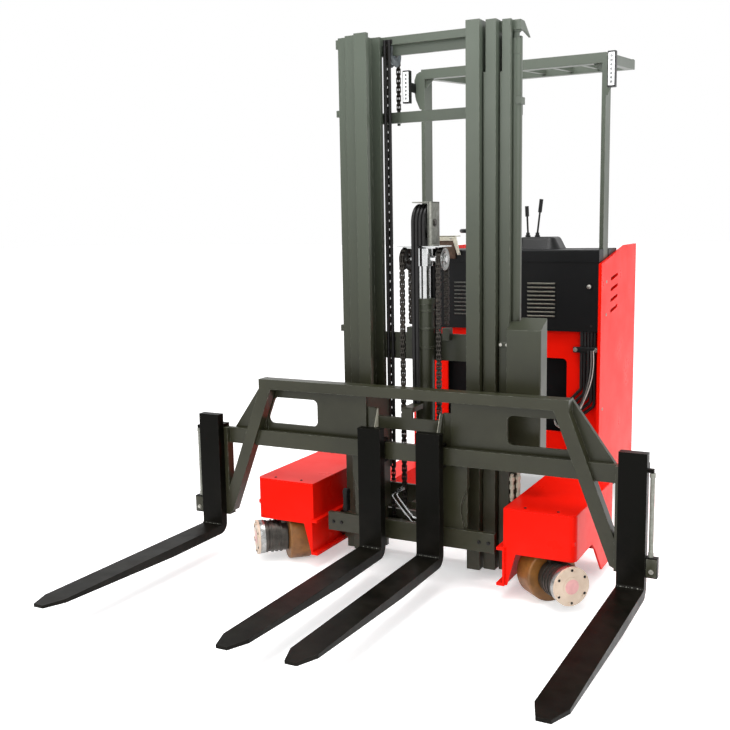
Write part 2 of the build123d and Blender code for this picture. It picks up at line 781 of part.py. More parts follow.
def make_pipes():
    """Two bent steel pipes low on the carriage."""
    with BuildPart() as pipes:
        for offset in (0, 22):
            hose(
                (
                    (-60 - offset * 0.4, 190, 372 + offset * 0.2),
                    (-104 - offset, 190, 344 - offset * 0.4),
                    (-20 - offset * 0.3, 190, 246 - offset),
                    (48, 190, 240 - offset),
                ),
                5,
                14,
            )
        block((48, 66), (150, 214), (206, 330))
        block((40, 60), (crossbar_y[1] + seat_gap, 152), (224, 240))
    keep(pipes, "carriage_pipes")


def leg_plan(inner, outer, front, rear):
    return ((inner, at(front)), (outer, at(front)), (outer, at(rear)), (inner, at(rear)))


def make_leg(side, name):
    """One leg: wheel box with its arch, roller channel and the beam to the body."""
    low, high = sorted((side * leg_inner, side * leg_outer))
    with BuildPart() as leg:
        with BuildSketch(Plane.XY.offset(leg_skirt_z)) as plan:
            with BuildLine():
                Polyline(*[(side * x, y) for x, y in leg_plan(leg_inner, leg_outer, leg_front, leg_box_rear)], close=True)
            make_face()
            corners = plan.vertices().sort_by_distance((side * leg_outer, at(leg_front)))
            fillet(corners[0], 28)
            offset(amount=-leg_wall, kind=Kind.INTERSECTION, mode=Mode.SUBTRACT)
        extrude(plan.sketch, amount=leg_box_top - leg_cover - leg_skirt_z)
        outer_wall = sorted((side * (leg_outer - leg_wall), side * leg_outer))
        outline_yz(
            ((300, leg_skirt_z + 1), (350, 160), (470, 32), (leg_box_rear, 32), (leg_box_rear, leg_skirt_z + 1)),
            outer_wall,
        )
        outline_xz(
            [(side * x, z) for x, z in ((leg_inner, leg_bottom), (456, leg_bottom), (492, leg_skirt_z + 1), (leg_inner, leg_skirt_z + 1))],
            (leg_front, leg_front + leg_wall),
        )
        web = sorted((side * leg_inner, side * (leg_inner + leg_wall)))
        lip = sorted((side * (leg_inner - channel_lip), side * (leg_inner + 1)))
        block(web, (leg_front - 14, body_front - seat_gap), (leg_bottom, channel_top))
        block(lip, (leg_front - 14, body_front - seat_gap), (leg_bottom, leg_bottom + channel_flange))
        block(lip, (leg_front - 14, body_front - seat_gap), (channel_top - channel_flange, channel_top))
        block(sorted((side * leg_inner, side * leg_outer)), (leg_box_rear - leg_wall, leg_box_rear), (leg_bottom, leg_skirt_z + 1))
        beam = sorted((side * (leg_inner + 4), side * leg_beam_outer))
        inside = sorted((side * (leg_inner + leg_wall), side * (leg_beam_outer - leg_wall)))
        block(beam, (leg_box_rear - 4, body_front - seat_gap), (leg_bottom, channel_top))
        block(inside, (leg_box_rear, body_front - 12), (leg_bottom + leg_wall, channel_top - leg_wall), Mode.SUBTRACT)
        plate = sorted((side * (leg_inner + 4), side * (leg_outer - 4)))
        block(plate, (leg_front + 4, 300), (turntable_z[1] + 6, turntable_z[1] + 22))
        along_z(side * kingpin_x, kingpin_y, (turntable_z[1] + 20, leg_box_top - leg_cover - 8), kingpin_radius + 14)
        along_z(side * kingpin_x, kingpin_y, (turntable_z[1], leg_box_top), kingpin_radius + run_fit, Mode.SUBTRACT)
    keep(leg, name)


def make_leg_covers():
    with BuildPart() as covers:
        for side in (-1, 1):
            with BuildSketch(Plane.XY.offset(leg_box_top - leg_cover + seat_gap)) as plan:
                with BuildLine():
                    Polyline(*[(side * x, y) for x, y in leg_plan(leg_inner, leg_outer, leg_front, leg_box_rear)], close=True)
                make_face()
                corners = plan.vertices().sort_by_distance((side * leg_outer, at(leg_front)))
                fillet(corners[0], 28)
            extrude(plan.sketch, amount=leg_cover - seat_gap)
    keep(covers, "leg_covers")


def wheel_frame(side):
    """Plane at the foot of a kingpin whose x axis is the wheel's axle, pointing outwards."""
    angle = radians(wheel_toe)
    return Plane(
        origin=(side * kingpin_x, at(kingpin_y), 0),
        x_dir=(side * sin(angle), -cos(angle), 0),
        z_dir=(0, 0, 1),
    )


def axle_disc(start, end, radius, mode=Mode.ADD):
    """A disc on the axle of a load wheel, between two distances from the kingpin."""
    with Locations(Location(((start + end) / 2, 0, load_wheel_radius), (0, 90, 0))):
        Cylinder(radius, end - start, mode=mode)


def make_load_wheel(side, word):
    half = load_wheel_width / 2
    with BuildPart(wheel_frame(side)) as tyre:
        axle_disc(-half, half, load_wheel_radius)
        fillet(tyre.edges().filter_by(GeomType.CIRCLE), 8)
        axle_disc(-half - 1, half + 1, load_axle_radius + run_fit, Mode.SUBTRACT)
        axle_disc(-half - 1, -half + 18, 78, Mode.SUBTRACT)
        axle_disc(-half + 1, -half + 19, 34)
        axle_disc(-half, half + 1, load_axle_radius + run_fit, Mode.SUBTRACT)
    keep(tyre, f"load_wheel_{word}")

    gap = half + 5
    with BuildPart(wheel_frame(side)) as unit:
        axle_disc(-half - 6, gap + 4, load_axle_radius)
        axle_disc(-half - 6, -half - 0.6, load_axle_radius + 8)
        axle_disc(gap, 138, drum_radius)
        for start in (gap + 24, gap + 44, gap + 64):
            axle_disc(start, start + 8, drum_radius + 4)
        axle_disc(138, 180, drum_radius - 6)
        axle_disc(144, 180, drum_radius + 4)
        with Locations((gap + 12.5, 0, (150 + turntable_z[1]) / 2)):
            Box(25, 60, turntable_z[1] - 150)
        with Locations((0, 0, sum(turntable_z) / 2)):
            Cylinder(turntable_radius, turntable_z[1] - turntable_z[0])
        with Locations((0, 0, (turntable_z[1] + leg_box_top - 16) / 2)):
            Cylinder(kingpin_radius, leg_box_top - 16 - turntable_z[1])
        with Locations((0, 0, turntable_z[1] + 2)):
            Cylinder(kingpin_radius + 12, 7.4)
    keep(unit, f"wheel_carrier_{word}")

    with BuildPart(wheel_frame(side)) as plate:
        axle_disc(180 + seat_gap, hub_reach, hub_plate_radius)
        axle_disc(hub_reach - 1, hub_reach + 2, 38)
        for index in range(6):
            turn = radians(60 * index + 20)
            spot = Location(
                (hub_reach + 2, 66 * cos(turn), load_wheel_radius + 66 * sin(turn)),
                (0, 90, 0),
            )
            with Locations(spot):
                Cylinder(5, 6)
    keep(plate, f"hub_plate_{word}")


def make_reach_frame():
    """Side plates and rear cross tube that tie the mast to the leg channels."""
    with BuildPart() as frame:
        pair((reach_plate_x[0] + seat_gap, reach_plate_x[1]), reach_plate_y, reach_plate_z)
        block((-reach_plate_x[1], reach_plate_x[1]), (640, 680), (110, 190))
        pair((300, reach_plate_x[0] + 5), (488, 504), (84, 190))
        along_y(0, (678, reach_barrel_front + 60), reach_rod_z, reach_rod_radius)
        along_y(0, (678, 692), reach_rod_z, reach_rod_radius + 10)
    keep(frame, "reach_frame")

    height = channel_top - leg_bottom - 2 * channel_flange
    radius = height / 2 - roller_clearance
    middle = (channel_top + leg_bottom) / 2
    with BuildPart() as rollers:
        for side in (-1, 1):
            for y in reach_roller_y:
                along_x(sorted((side * (reach_plate_x[1] + 5), side * (leg_inner - 3))), y, middle, radius)
                along_x(sorted((side * (reach_plate_x[1] + seat_gap), side * (leg_inner - 6))), y, middle, 18)
    keep(rollers, "reach_rollers")

def make_body_base():
    """Floor plate, side rails, leg lugs, drive ring and the reach cylinder's barrel."""
    inner = body_half_width - panel_thickness - seat_gap
    start = front_panel_y[1] + seat_gap
    rail = (inner - 50, inner)
    with BuildPart() as base:
        block((-inner, inner), (start, body_rear - 20), floor_z)
        pair(rail, (start, body_rear - 20), (base_bottom, floor_z[1]))
        pair((rail[0] + 8, rail[1] - 8), (start + 70, body_rear - 30), (base_bottom + 8, floor_z[0] - 8), Mode.SUBTRACT)
        block((-inner, inner), (body_rear - 28, body_rear - 20), (base_bottom, floor_z[1]))
        pair(rail, (body_front, start + 60), (leg_bottom, floor_z[1]))
        along_z(drive_x, drive_y, (floor_z[0] - 1, floor_z[1] + 1), 150, Mode.SUBTRACT)
        along_z(drive_x, drive_y, (floor_z[1] - 1, 344), drive_plate_radius + 14)
        along_z(drive_x, drive_y, (floor_z[0] - 2, 338 + seat_gap), drive_plate_radius + seat_gap, Mode.SUBTRACT)
        along_z(drive_x, drive_y, (330, 350), 120, Mode.SUBTRACT)
        rear = reach_barrel_front + reach_stroke + 80
        bore = (reach_barrel_front - 1, rear - 12)
        along_y(0, (reach_barrel_front, rear), reach_rod_z, reach_barrel_radius)
        along_y(0, (reach_barrel_front, reach_barrel_front + 30), reach_rod_z, reach_barrel_radius + 5)
        block((-20, 20), (rear - 60, rear - 20), (reach_rod_z + 20, floor_z[0] + 1))
        block((-20, 20), (start + 20, start + 60), (reach_rod_z + 20, floor_z[0] + 1))
        along_y(0, bore, reach_rod_z, reach_rod_radius + run_fit, Mode.SUBTRACT)
    keep(base, "body_base")


def make_side_panel(side, name):
    """A red side panel with a rising top edge and four slanted slots."""
    x = sorted((side * (body_half_width - panel_thickness), side * body_half_width))
    with BuildPart() as panel:
        outline_yz(
            (
                (body_front, base_bottom + 30),
                (body_rear, base_bottom + 30),
                (body_rear, cover_z[1] + 12),
                (body_front + 0.667 * body_length, cover_z[1] + 10),
                (body_front, cover_z[0] - 10),
            ),
            x,
        )
        for index in range(4):
            slot_y = body_front + 0.349 * body_length
            slot_z = cover_z[0] - 86 - slot_pitch * index
            with BuildSketch(Plane.YZ.offset(x[0] - 1)) as slot:
                with Locations(Location((at(slot_y), slot_z, 0), (0, 0, slot_tilt))):
                    SlotOverall(slot_length, slot_height)
            extrude(slot.sketch, amount=panel_thickness + 2, mode=Mode.SUBTRACT)
    keep(panel, name)


def make_front_panels():
    inner = body_half_width - panel_thickness - seat_gap
    with BuildPart() as upper:
        block((-inner, inner), front_panel_y, upper_panel_z)
        pitch = (louvre_z[1] - louvre_z[0]) / (louvre_count - 1)
        for index in range(louvre_count):
            z = louvre_z[0] + index * pitch
            pair(louvre_x, (front_panel_y[0] - 1, front_panel_y[1] + 1), (z - 4.5, z + 4.5), Mode.SUBTRACT)
        for index in range(louvre_count):
            z = louvre_z[0] + index * pitch
            for side in (-1, 1):
                outline_yz(
                    (
                        (front_panel_y[0] - 7, z - 2),
                        (front_panel_y[0] + 3, z + 6),
                        (front_panel_y[0] + 3, z + 8),
                        (front_panel_y[0] - 7, z),
                    ),
                    sorted((side * louvre_x[0], side * louvre_x[1])),
                )
        along_y(452, (front_panel_y[0] - 14, front_panel_y[0] + 2), upper_panel_z[1] - 122, 11)
    keep(upper, "front_panel_upper")

    with BuildPart() as lower:
        block((-inner, inner), lower_panel_y, lower_panel_z)
        outline_xz(
            ((-recess_half, recess_z[0]), (recess_half, recess_z[0]), (recess_half, recess_z[1]), (-recess_half, recess_z[1])),
            (lower_panel_y[0] - 1, lower_panel_y[1] + 1),
            Mode.SUBTRACT,
            24,
        )
    keep(lower, "front_panel_lower")


def make_top_cover():
    inner = body_half_width - panel_thickness - seat_gap
    with BuildPart() as cover:
        block((-inner, inner), (front_panel_y[0] - 6, cover_rear), cover_z)
        block((-inner + 10, inner - 10), (front_panel_y[0] + 6, cover_rear - 10), (cover_z[0] - 1, cover_z[1] - 12), Mode.SUBTRACT)
        pair((guard_post_x[0] - 2, inner + 1), (guard_post_y[0] - 2, guard_post_y[1] + 2), (cover_z[0] - 1, cover_z[1] + 1), Mode.SUBTRACT)
        fillet(cover.edges().filter_by(Axis.X).sort_by(Axis.Y)[0:2].sort_by(Axis.Z)[-1], 8)
    keep(cover, "top_cover")


def make_console():
    """Raised console on the right and the steering column on the left."""
    with BuildPart() as console:
        with BuildSketch(Plane.XY.offset(cover_z[1] + seat_gap)) as foot:
            with Locations((128, at(1500))):
                RectangleRounded(250, 210, 60)
        extrude(foot.sketch, amount=62, taper=28)
        top = console.faces().sort_by(Axis.Z)[-1]
        fillet(top.edges(), 24)
        with Locations((column_x, at(column_y), cover_z[1] + seat_gap + 30)):
            Cone(52, 26, 60)
        along_z(column_x, column_y, (cover_z[1] + 60, cover_z[1] + 96), 10)
    keep(console, "console")


def make_levers():
    with BuildPart() as levers:
        for foot_x, top_x, top_y, top_z in ((60, 54, 1496, 1590), (112, 136, 1488, 1624)):
            base = cover_z[1] + seat_gap + 62 + seat_gap
            along_z(foot_x, 1500, (base, base + 8), 14)
            along_z(foot_x, 1500, (base + 8, base + 22), 10)
            start = Vector(foot_x, at(1500), base + 18)
            end = Vector(top_x, at(top_y), top_z)
            with BuildSketch(Plane(origin=start, z_dir=end - start)) as shaft:
                Circle(5)
            extrude(shaft.sketch, amount=(end - start).length * 0.66)
            grip = start + (end - start) * 0.62
            with BuildSketch(Plane(origin=grip, z_dir=end - start)) as handle:
                Circle(10)
            extrude(handle.sketch, amount=(end - start).length * 0.38)
    keep(levers, "control_levers")


def make_operator_space():
    inner = body_half_width - panel_thickness - seat_gap
    with BuildPart() as walls:
        block((-inner, partition_x[1]), (cover_rear - 1, body_rear - 8), (floor_z[1] + seat_gap, 1010))
        inside = (-inner + 15, partition_x[0])
        block(inside, (cover_rear, body_rear - 23), (floor_z[1] - 1, 995), Mode.SUBTRACT)
        block((-inner, inner), (cover_rear - 14, cover_rear), (floor_z[1] + seat_gap, cover_z[0] - seat_gap))
    keep(walls, "cab_walls")

    with BuildPart() as pads:
        block((partition_x[1] + 5, inner - 5), (cover_rear + 5, body_rear - 25), (floor_z[1] + seat_gap, floor_z[1] + 18))
        pad = (partition_x[1] + seat_gap, partition_x[1] + 50)
        block(pad, (cover_rear + 60, body_rear - 60), (700, 980))
        block((pad[1] - 30, pad[1]), (cover_rear + 90, body_rear - 90), (640, 720))
    keep(pads, "operator_pads")

    with BuildPart() as battery:
        block((-440, 440), (guard_post_y[0] + 4, cover_rear - 30), (floor_z[1] + seat_gap, 905))
    keep(battery, "battery")


def make_steering_wheel():
    centre = (column_x, column_y)
    z = cover_z[1] + 98
    with BuildPart() as wheel:
        with Locations((centre[0], at(centre[1]), z)):
            Torus(100, 11)
        along_z(centre[0], centre[1], (z - 8, z + 8), 30)
        along_z(centre[0], centre[1], (z - 9, z - 1.5), 10 + run_fit, Mode.SUBTRACT)
        for turn in (90, 210, 330):
            direction = Vector(cos(radians(turn)), sin(radians(turn)), 0)
            start = Vector(centre[0], at(centre[1]), z) + direction * 24
            with BuildSketch(Plane(origin=start, z_dir=direction)) as spoke:
                RectangleRounded(9, 22, 3)
            extrude(spoke.sketch, amount=74)
        along_z(centre[0] - 82, centre[1] + 52, (z + 6, z + 48), 14)
    keep(wheel, "steering_wheel")


def make_guard():
    """Two flat posts and a cantilevered roof of bars."""
    inner = body_half_width - panel_thickness - seat_gap
    front, rear = guard_post_y[0], guard_rear
    low = guard_height - guard_bar - guard_rise
    high = guard_height - guard_rise
    slope = guard_rise / (rear - front)
    with BuildPart() as guard:
        pair(guard_post_x, guard_post_y, (1120, high))
        pair((guard_post_x[0] + 4, inner), (guard_post_y[0] - 30, guard_post_y[1] + 30), (1110, 1190))
        roof = ((front, low), (rear, low + slope * (rear - front)), (rear, guard_height), (front, high))
        for x in (-guard_post_x[1], guard_post_x[0] - 20):
            outline_yz(roof, (x, x + 40))
        block((-guard_post_x[1], guard_post_x[1]), (front, front + 44), (low, high))
        block((-guard_post_x[1], guard_post_x[1]), (rear - 40, rear), (guard_height - guard_bar, guard_height))
        slat = ((front + 30, low + 16), (rear - 30, low + 16 + guard_rise * 0.94), (rear - 30, guard_height - 12), (front + 30, high - 12))
        for index in range(5):
            x = -310 + index * 155
            outline_yz(slat, (x - 10, x + 10))
        for side in (-1, 1):
            edge = side * guard_post_x[0]
            outline_xz(((edge, low + 2), (edge, low - 48), (edge - side * 48, low + 2)), (front + 18, front + 26))
        post = guard_post_x[1] - 1
        bottom, top = lamp_z[0] - 26, lamp_z[1]
        mirrored_xz(
            (
                (post, bottom),
                (post + 10, bottom),
                (lamp_plate_end - 8, bottom + 50),
                (lamp_plate_end, bottom + 90),
                (lamp_plate_end, top - 40),
                (lamp_plate_end - 12, top - 10),
                (post + 10, top),
                (post, top),
            ),
            (front, front + 8),
        )
    keep(guard, "overhead_guard")


def make_lamps():
    """Two flat work lamps on arms from the posts' half-round plates."""
    near, far = lamp_x
    middle = (lamp_z[0] + lamp_z[1]) / 2
    with BuildPart() as lamps:
        for side in (-1, 1):
            block(sorted((side * near, side * far)), lamp_y, lamp_z)
            arm = sorted((side * (near + 2), side * (lamp_plate_end - 1)))
            block(arm, (lamp_y[1] - 1, guard_post_y[0] - seat_gap), (middle - 24, middle + 24))
    keep(lamps, "work_lamps")


def make_body_hoses():
    """Five hoses from behind the black panel that bend into the recess."""
    radius = 8.0
    y = front_panel_y[1] + radius + seat_gap
    with BuildPart() as hoses:
        for index in range(5):
            x = 408 + index * 17
            bend_z = 600 - 17 * index
            hose(
                (
                    (x, y, 1000),
                    (x, y, bend_z + 60 - 4 * index),
                    (x - 55, y, bend_z),
                    (262, y, bend_z - 10),
                    (248, 1360, bend_z - 12),
                ),
                radius,
                26,
            )
    keep(hoses, "body_hoses")


def make_drive_unit():
    """Drive wheel below a vertical motor on a slewing plate."""
    half = drive_wheel_width / 2
    with BuildPart() as wheel:
        along_x((drive_x - half, drive_x + half), drive_y, drive_wheel_radius, drive_wheel_radius)
        fillet(wheel.edges().filter_by(GeomType.CIRCLE), 10)
        along_x((drive_x - half - 1, drive_x + half + 1), drive_y, drive_wheel_radius, 30 + run_fit, Mode.SUBTRACT)
        along_x((drive_x - half - 1, drive_x - half + 14), drive_y, drive_wheel_radius, 100, Mode.SUBTRACT)
    keep(wheel, "drive_wheel")

    with BuildPart() as unit:
        along_x((drive_x - half - 4, drive_x + half + 10), drive_y, drive_wheel_radius, 30)
        block((drive_x + half + 8, drive_x + half + 60), (drive_y - 70, drive_y + 70), (70, 330))
        along_z(drive_x, drive_y, (318, 338), drive_plate_radius)
        along_z(drive_x, drive_y, (336, 600), 95)
        along_z(drive_x, drive_y, (600, 640), 80)
    keep(unit, "drive_unit")


make_forks()
make_fork_frame()
make_carriage()
make_carriage_rollers()
make_inner_mast()
make_mid_mast()
make_outer_mast()
make_side_barrels()
make_mast_box()
make_free_lift()
make_lift_chains()
make_mast_chains()
make_pulley_hoses()
make_mast_hoses()
make_pipes()
make_leg(1, "leg_right")
make_leg(-1, "leg_left")
make_leg_covers()
make_load_wheel(1, "right")
make_load_wheel(-1, "left")
make_reach_frame()
make_body_base()
make_side_panel(1, "side_panel_right")
make_side_panel(-1, "side_panel_left")
make_front_panels()
make_top_cover()
make_console()
make_levers()
make_operator_space()
make_steering_wheel()
make_guard()
make_lamps()
make_body_hoses()
make_drive_unit()
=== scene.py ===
import json
import math

import bmesh
import bpy
from mathutils import Matrix, Vector


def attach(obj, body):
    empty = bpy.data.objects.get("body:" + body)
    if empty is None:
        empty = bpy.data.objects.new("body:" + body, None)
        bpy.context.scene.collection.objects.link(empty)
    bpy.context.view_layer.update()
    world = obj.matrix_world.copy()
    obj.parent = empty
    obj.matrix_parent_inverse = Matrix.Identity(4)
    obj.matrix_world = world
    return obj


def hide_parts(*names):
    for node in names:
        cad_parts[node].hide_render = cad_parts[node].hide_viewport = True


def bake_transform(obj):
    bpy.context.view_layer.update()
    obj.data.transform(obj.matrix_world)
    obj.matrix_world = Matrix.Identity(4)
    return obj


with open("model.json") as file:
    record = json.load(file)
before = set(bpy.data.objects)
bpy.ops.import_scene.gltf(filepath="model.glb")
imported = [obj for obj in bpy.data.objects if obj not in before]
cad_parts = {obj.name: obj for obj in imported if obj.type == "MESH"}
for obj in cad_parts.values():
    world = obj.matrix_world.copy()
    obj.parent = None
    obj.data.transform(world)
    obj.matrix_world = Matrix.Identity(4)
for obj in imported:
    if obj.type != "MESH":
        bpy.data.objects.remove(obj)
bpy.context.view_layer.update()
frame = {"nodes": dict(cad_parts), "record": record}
nodes = frame["nodes"]

# Distance in millimetres from the fork shanks' front face to the middle of the truck's length
MID_Y = 485.0
# The photograph's width and its camera's focal length, both in pixels
PHOTO_WIDTH = 730
FOCAL_LENGTH = 970.73
# Width of the camera's film in millimetres
FILM_WIDTH = 36
# The camera's place in millimetres, with y counted from the fork shanks
CAMERA_PLACE = (1702.4, -3515.9, 1510.8)
# The camera's turn, downward look and lean in degrees
CAMERA_ANGLES = (27.71, 8.26, -1.0)
# Half the side of the floor, and the height that the lamps point at, in metres
FLOOR_HALF = 60
LAMP_AIM = 0.8
# How bright the floor shows, and how bright the sky shines at the horizon
FLOOR_GLOW = 0.42
HORIZON = 0.34
# Blotches in the edge colour, which is wear and painted edge highlight, and in dust, in millimetres
WEAR_AND_HIGHLIGHT_BLOTCH = 1000 / 45
DUST_BLOTCH = 1000 / 9
# Colour of settled dust
DUST = "#9A8F80"
# Heights in metres where the painted highlight that makes a paint paler towards the top begins and where it
# is at full strength
HIGHLIGHT_START = 0.8
HIGHLIGHT_END = 2.2


def place(x, y, z):
    """A point given in millimetres, with y counted from the fork shanks, in the row frame."""
    return Vector((x / 1000, (y - MID_Y) / 1000, z / 1000))


# Camera, floor and light

def make_camera():
    """The photograph's camera, found from the truck's edges."""
    yaw, pitch, roll = (math.radians(angle) for angle in CAMERA_ANGLES)
    forward = Vector((-math.sin(yaw) * math.cos(pitch), math.cos(yaw) * math.cos(pitch), -math.sin(pitch)))
    right = Vector((math.cos(yaw), math.sin(yaw), 0))
    up = right.cross(forward)
    side = right * math.cos(roll) + up * math.sin(roll)
    top = up * math.cos(roll) - right * math.sin(roll)
    data = bpy.data.cameras.new("camera")
    data.sensor_width = FILM_WIDTH
    data.lens = FOCAL_LENGTH / PHOTO_WIDTH * FILM_WIDTH
    camera = bpy.data.objects.new("camera", data)
    bpy.context.scene.collection.objects.link(camera)
    turn = Matrix((side, top, -forward)).transposed().to_4x4()
    camera.matrix_world = Matrix.Translation(place(*CAMERA_PLACE)) @ turn
    bpy.context.scene.camera = camera


def linear(code):
    """A #RRGGBB colour as linear red, green, blue and alpha."""
    parts = [int(code[i:i + 2], 16) / 255 for i in (1, 3, 5)]
    return [c / 12.92 if c <= 0.04045 else ((c + 0.055) / 1.055) ** 2.4 for c in parts] + [1.0]


def add(tree, kind, options=None, **sockets):
    """A shader node with its options set, and its inputs set or linked. i0 names input 0."""
    node = tree.nodes.new("ShaderNode" + kind)
    for name, value in (options or {}).items():
        setattr(node, name, value)
    for name, value in sockets.items():
        key = int(name[1:]) if name[0] == "i" and name[1:].isdigit() else name.replace("_", " ")
        socket = node.inputs[key]
        if isinstance(value, bpy.types.NodeSocket):
            tree.links.new(value, socket)
        else:
            socket.default_value = value
    return node


def surface(
    name, first, second, patch_mm, rough, grain_mm=3.0, bump_mm=0.05, bevel_mm=1.2,
    metallic=0.0, coat=0.0, shine=0.5, edge_wear_and_highlight=None, edge_wear_and_highlight_share=0.5,
    dust=0.0, dust_top=0.5, top_highlight=None, glow=0.0,
):
    """A surface with patches of two colours, fine grain, a paler edge colour that is wear and, on the mast
    paint, also a painted edge highlight, dust near the floor, and a top made paler as a painted highlight.
    """
    material = bpy.data.materials.new(name)
    material.use_nodes = True
    tree = material.node_tree
    shader = tree.nodes["Principled BSDF"]
    here = add(tree, "TexCoord").outputs["Object"]
    if top_highlight or dust:
        height = add(tree, "SeparateXYZ", Vector=here).outputs[2]
    patches = add(tree, "TexNoise", Vector=here, Scale=1000 / patch_mm, Detail=5, Roughness=0.6).outputs[0]
    grain = add(tree, "TexNoise", Vector=here, Scale=1000 / grain_mm, Detail=3).outputs[0]
    share = add(tree, "MapRange", Value=patches, From_Min=0.35, From_Max=0.65).outputs[0]
    colour = add(tree, "Mix", {"data_type": "RGBA"}, i0=share, i6=linear(first), i7=linear(second)).outputs[2]
    soft = add(tree, "Bevel", {"samples": 4}, Radius=bevel_mm / 1000).outputs[0]
    rough_value = add(
        tree, "MapRange", Value=patches, From_Min=0.3, From_Max=0.7, To_Min=rough[0], To_Max=rough[1],
    ).outputs[0]
    # the paler top is a painted highlight: colour that stands in for the light falling from above
    if top_highlight:
        share = add(tree, "MapRange", Value=height, From_Min=HIGHLIGHT_START, From_Max=HIGHLIGHT_END).outputs[0]
        colour = add(
            tree, "Mix", {"data_type": "RGBA"}, i0=share, i6=colour, i7=linear(top_highlight),
        ).outputs[2]
    # paler edges: wear, and on the mast paint also a painted highlight along the edges
    if edge_wear_and_highlight:
        true_normal = add(tree, "NewGeometry").outputs["True Normal"]
        facing = add(tree, "VectorMath", {"operation": "DOT_PRODUCT"}, i0=soft, i1=true_normal)
        edge = add(tree, "MapRange", Value=facing.outputs["Value"], From_Min=0.995, From_Max=0.80).outputs[0]
        wear_and_highlight_noise = add(tree, "TexNoise", Vector=here, Scale=1000 / WEAR_AND_HIGHLIGHT_BLOTCH, Detail=6).outputs[0]
        wear_and_highlight_patches = add(tree, "MapRange", Value=wear_and_highlight_noise, From_Min=0.45, From_Max=0.62, To_Max=edge_wear_and_highlight_share).outputs[0]
        share = add(tree, "Math", {"operation": "MULTIPLY"}, i0=edge, i1=wear_and_highlight_patches).outputs[0]
        colour = add(tree, "Mix", {"data_type": "RGBA"}, i0=share, i6=colour, i7=linear(edge_wear_and_highlight)).outputs[2]
    if dust:
        near = add(tree, "MapRange", Value=height, From_Min=dust_top, From_Max=0.0, To_Max=dust).outputs[0]
        blot = add(tree, "TexNoise", Vector=here, Scale=1000 / DUST_BLOTCH, Detail=7, Roughness=0.7)
        settled = add(tree, "MapRange", Value=blot.outputs[0], From_Min=0.35, From_Max=0.7).outputs[0]
        share = add(tree, "Math", {"operation": "MULTIPLY"}, i0=near, i1=settled).outputs[0]
        colour = add(tree, "Mix", {"data_type": "RGBA"}, i0=share, i6=colour, i7=linear(DUST)).outputs[2]
        dull = add(tree, "Math", {"operation": "MULTIPLY"}, i0=share, i1=0.4).outputs[0]
        rough_value = add(tree, "Math", {"operation": "ADD"}, i0=rough_value, i1=dull).outputs[0]
    bump = add(tree, "Bump", Strength=0.6, Distance=bump_mm / 1000, Height=grain, Normal=soft).outputs[0]
    tree.links.new(colour, shader.inputs["Base Color"])
    tree.links.new(rough_value, shader.inputs["Roughness"])
    tree.links.new(bump, shader.inputs["Normal"])
    shader.inputs["Metallic"].default_value = metallic
    shader.inputs["Coat Weight"].default_value = coat
    shader.inputs["Coat Roughness"].default_value = 0.15
    shader.inputs["Specular IOR Level"].default_value = shine
    shader.inputs["Emission Color"].default_value = linear(first)
    shader.inputs["Emission Strength"].default_value = glow
    return material


def background_rays(tree):
    """One for rays from the camera and for those that metal and glass send on, none for the rest."""
    path = add(tree, "LightPath")
    glossy = path.outputs["Is Glossy Ray"]
    through = path.outputs["Is Transmission Ray"]
    sent_on = add(tree, "Math", {"operation": "MAXIMUM"}, i0=glossy, i1=through).outputs[0]
    seen = path.outputs["Is Camera Ray"]
    return add(tree, "Math", {"operation": "MAXIMUM"}, i0=seen, i1=sent_on).outputs[0]


def make_stage():
    """A pale floor without end, a white sky and soft lights."""
    scene = bpy.context.scene
    mesh = bpy.data.meshes.new("floor")
    corners = [(x * FLOOR_HALF, y * FLOOR_HALF, 0) for x, y in ((-1, -1), (1, -1), (1, 1), (-1, 1))]
    mesh.from_pydata(corners, [], [(0, 1, 2, 3)])
    floor = bpy.data.objects.new("floor", mesh)
    scene.collection.objects.link(floor)
    # the floor of a white photo studio, hardly marked
    material = surface(
        "studio_floor", "#FFFFFF", "#FBFBFB", 900, (0.8, 0.95), grain_mm=8, bump_mm=0.02, shine=0.1,
    )
    # shows lit to the camera and in metal and glass, and throws no more light on the truck for it
    tree = material.node_tree
    glow = add(tree, "Math", {"operation": "MULTIPLY"}, i0=background_rays(tree), i1=FLOOR_GLOW).outputs[0]
    tree.links.new(glow, tree.nodes["Principled BSDF"].inputs["Emission Strength"])
    mesh.materials.append(material)
    scene.view_settings.view_transform = "Standard"
    world = bpy.data.worlds.new("sky")
    world.use_nodes = True
    tree = world.node_tree
    background = tree.nodes["Background"]
    background.inputs[0].default_value = (1, 1, 1, 1)
    # white to the camera and in metal and glass, but as a light brighter above than at the horizon
    up = add(tree, "SeparateXYZ", Vector=add(tree, "TexCoord").outputs["Generated"]).outputs[2]
    dome = add(
        tree, "MapRange", Value=up, From_Min=0.0, From_Max=0.9, To_Min=HORIZON, To_Max=1.0,
    ).outputs[0]
    strength = add(tree, "Mix", {"data_type": "FLOAT"}, i0=background_rays(tree), i2=dome, i3=1.0).outputs[0]
    tree.links.new(strength, background.inputs[1])
    scene.world = world
    for name, spot, energy, size in (
        ("key_light", (-0.6, -5.5, 3.2), 118, 3.2),
        ("side_light", (5.0, -1.5, 3.0), 88, 3.5),
        ("top_light", (0.0, -0.8, 5.6), 175, 3.0),
    ):
        data = bpy.data.lights.new(name, "AREA")
        data.energy = energy
        data.size = size
        lamp = bpy.data.objects.new(name, data)
        lamp.location = spot
        lamp.rotation_euler = (Vector((0, 0, LAMP_AIM)) - Vector(spot)).to_track_quat("-Z", "Y").to_euler()
        scene.collection.objects.link(lamp)


make_camera()
make_stage()

# Materials, one for each slot of the record, and below them those of the scene's own pieces

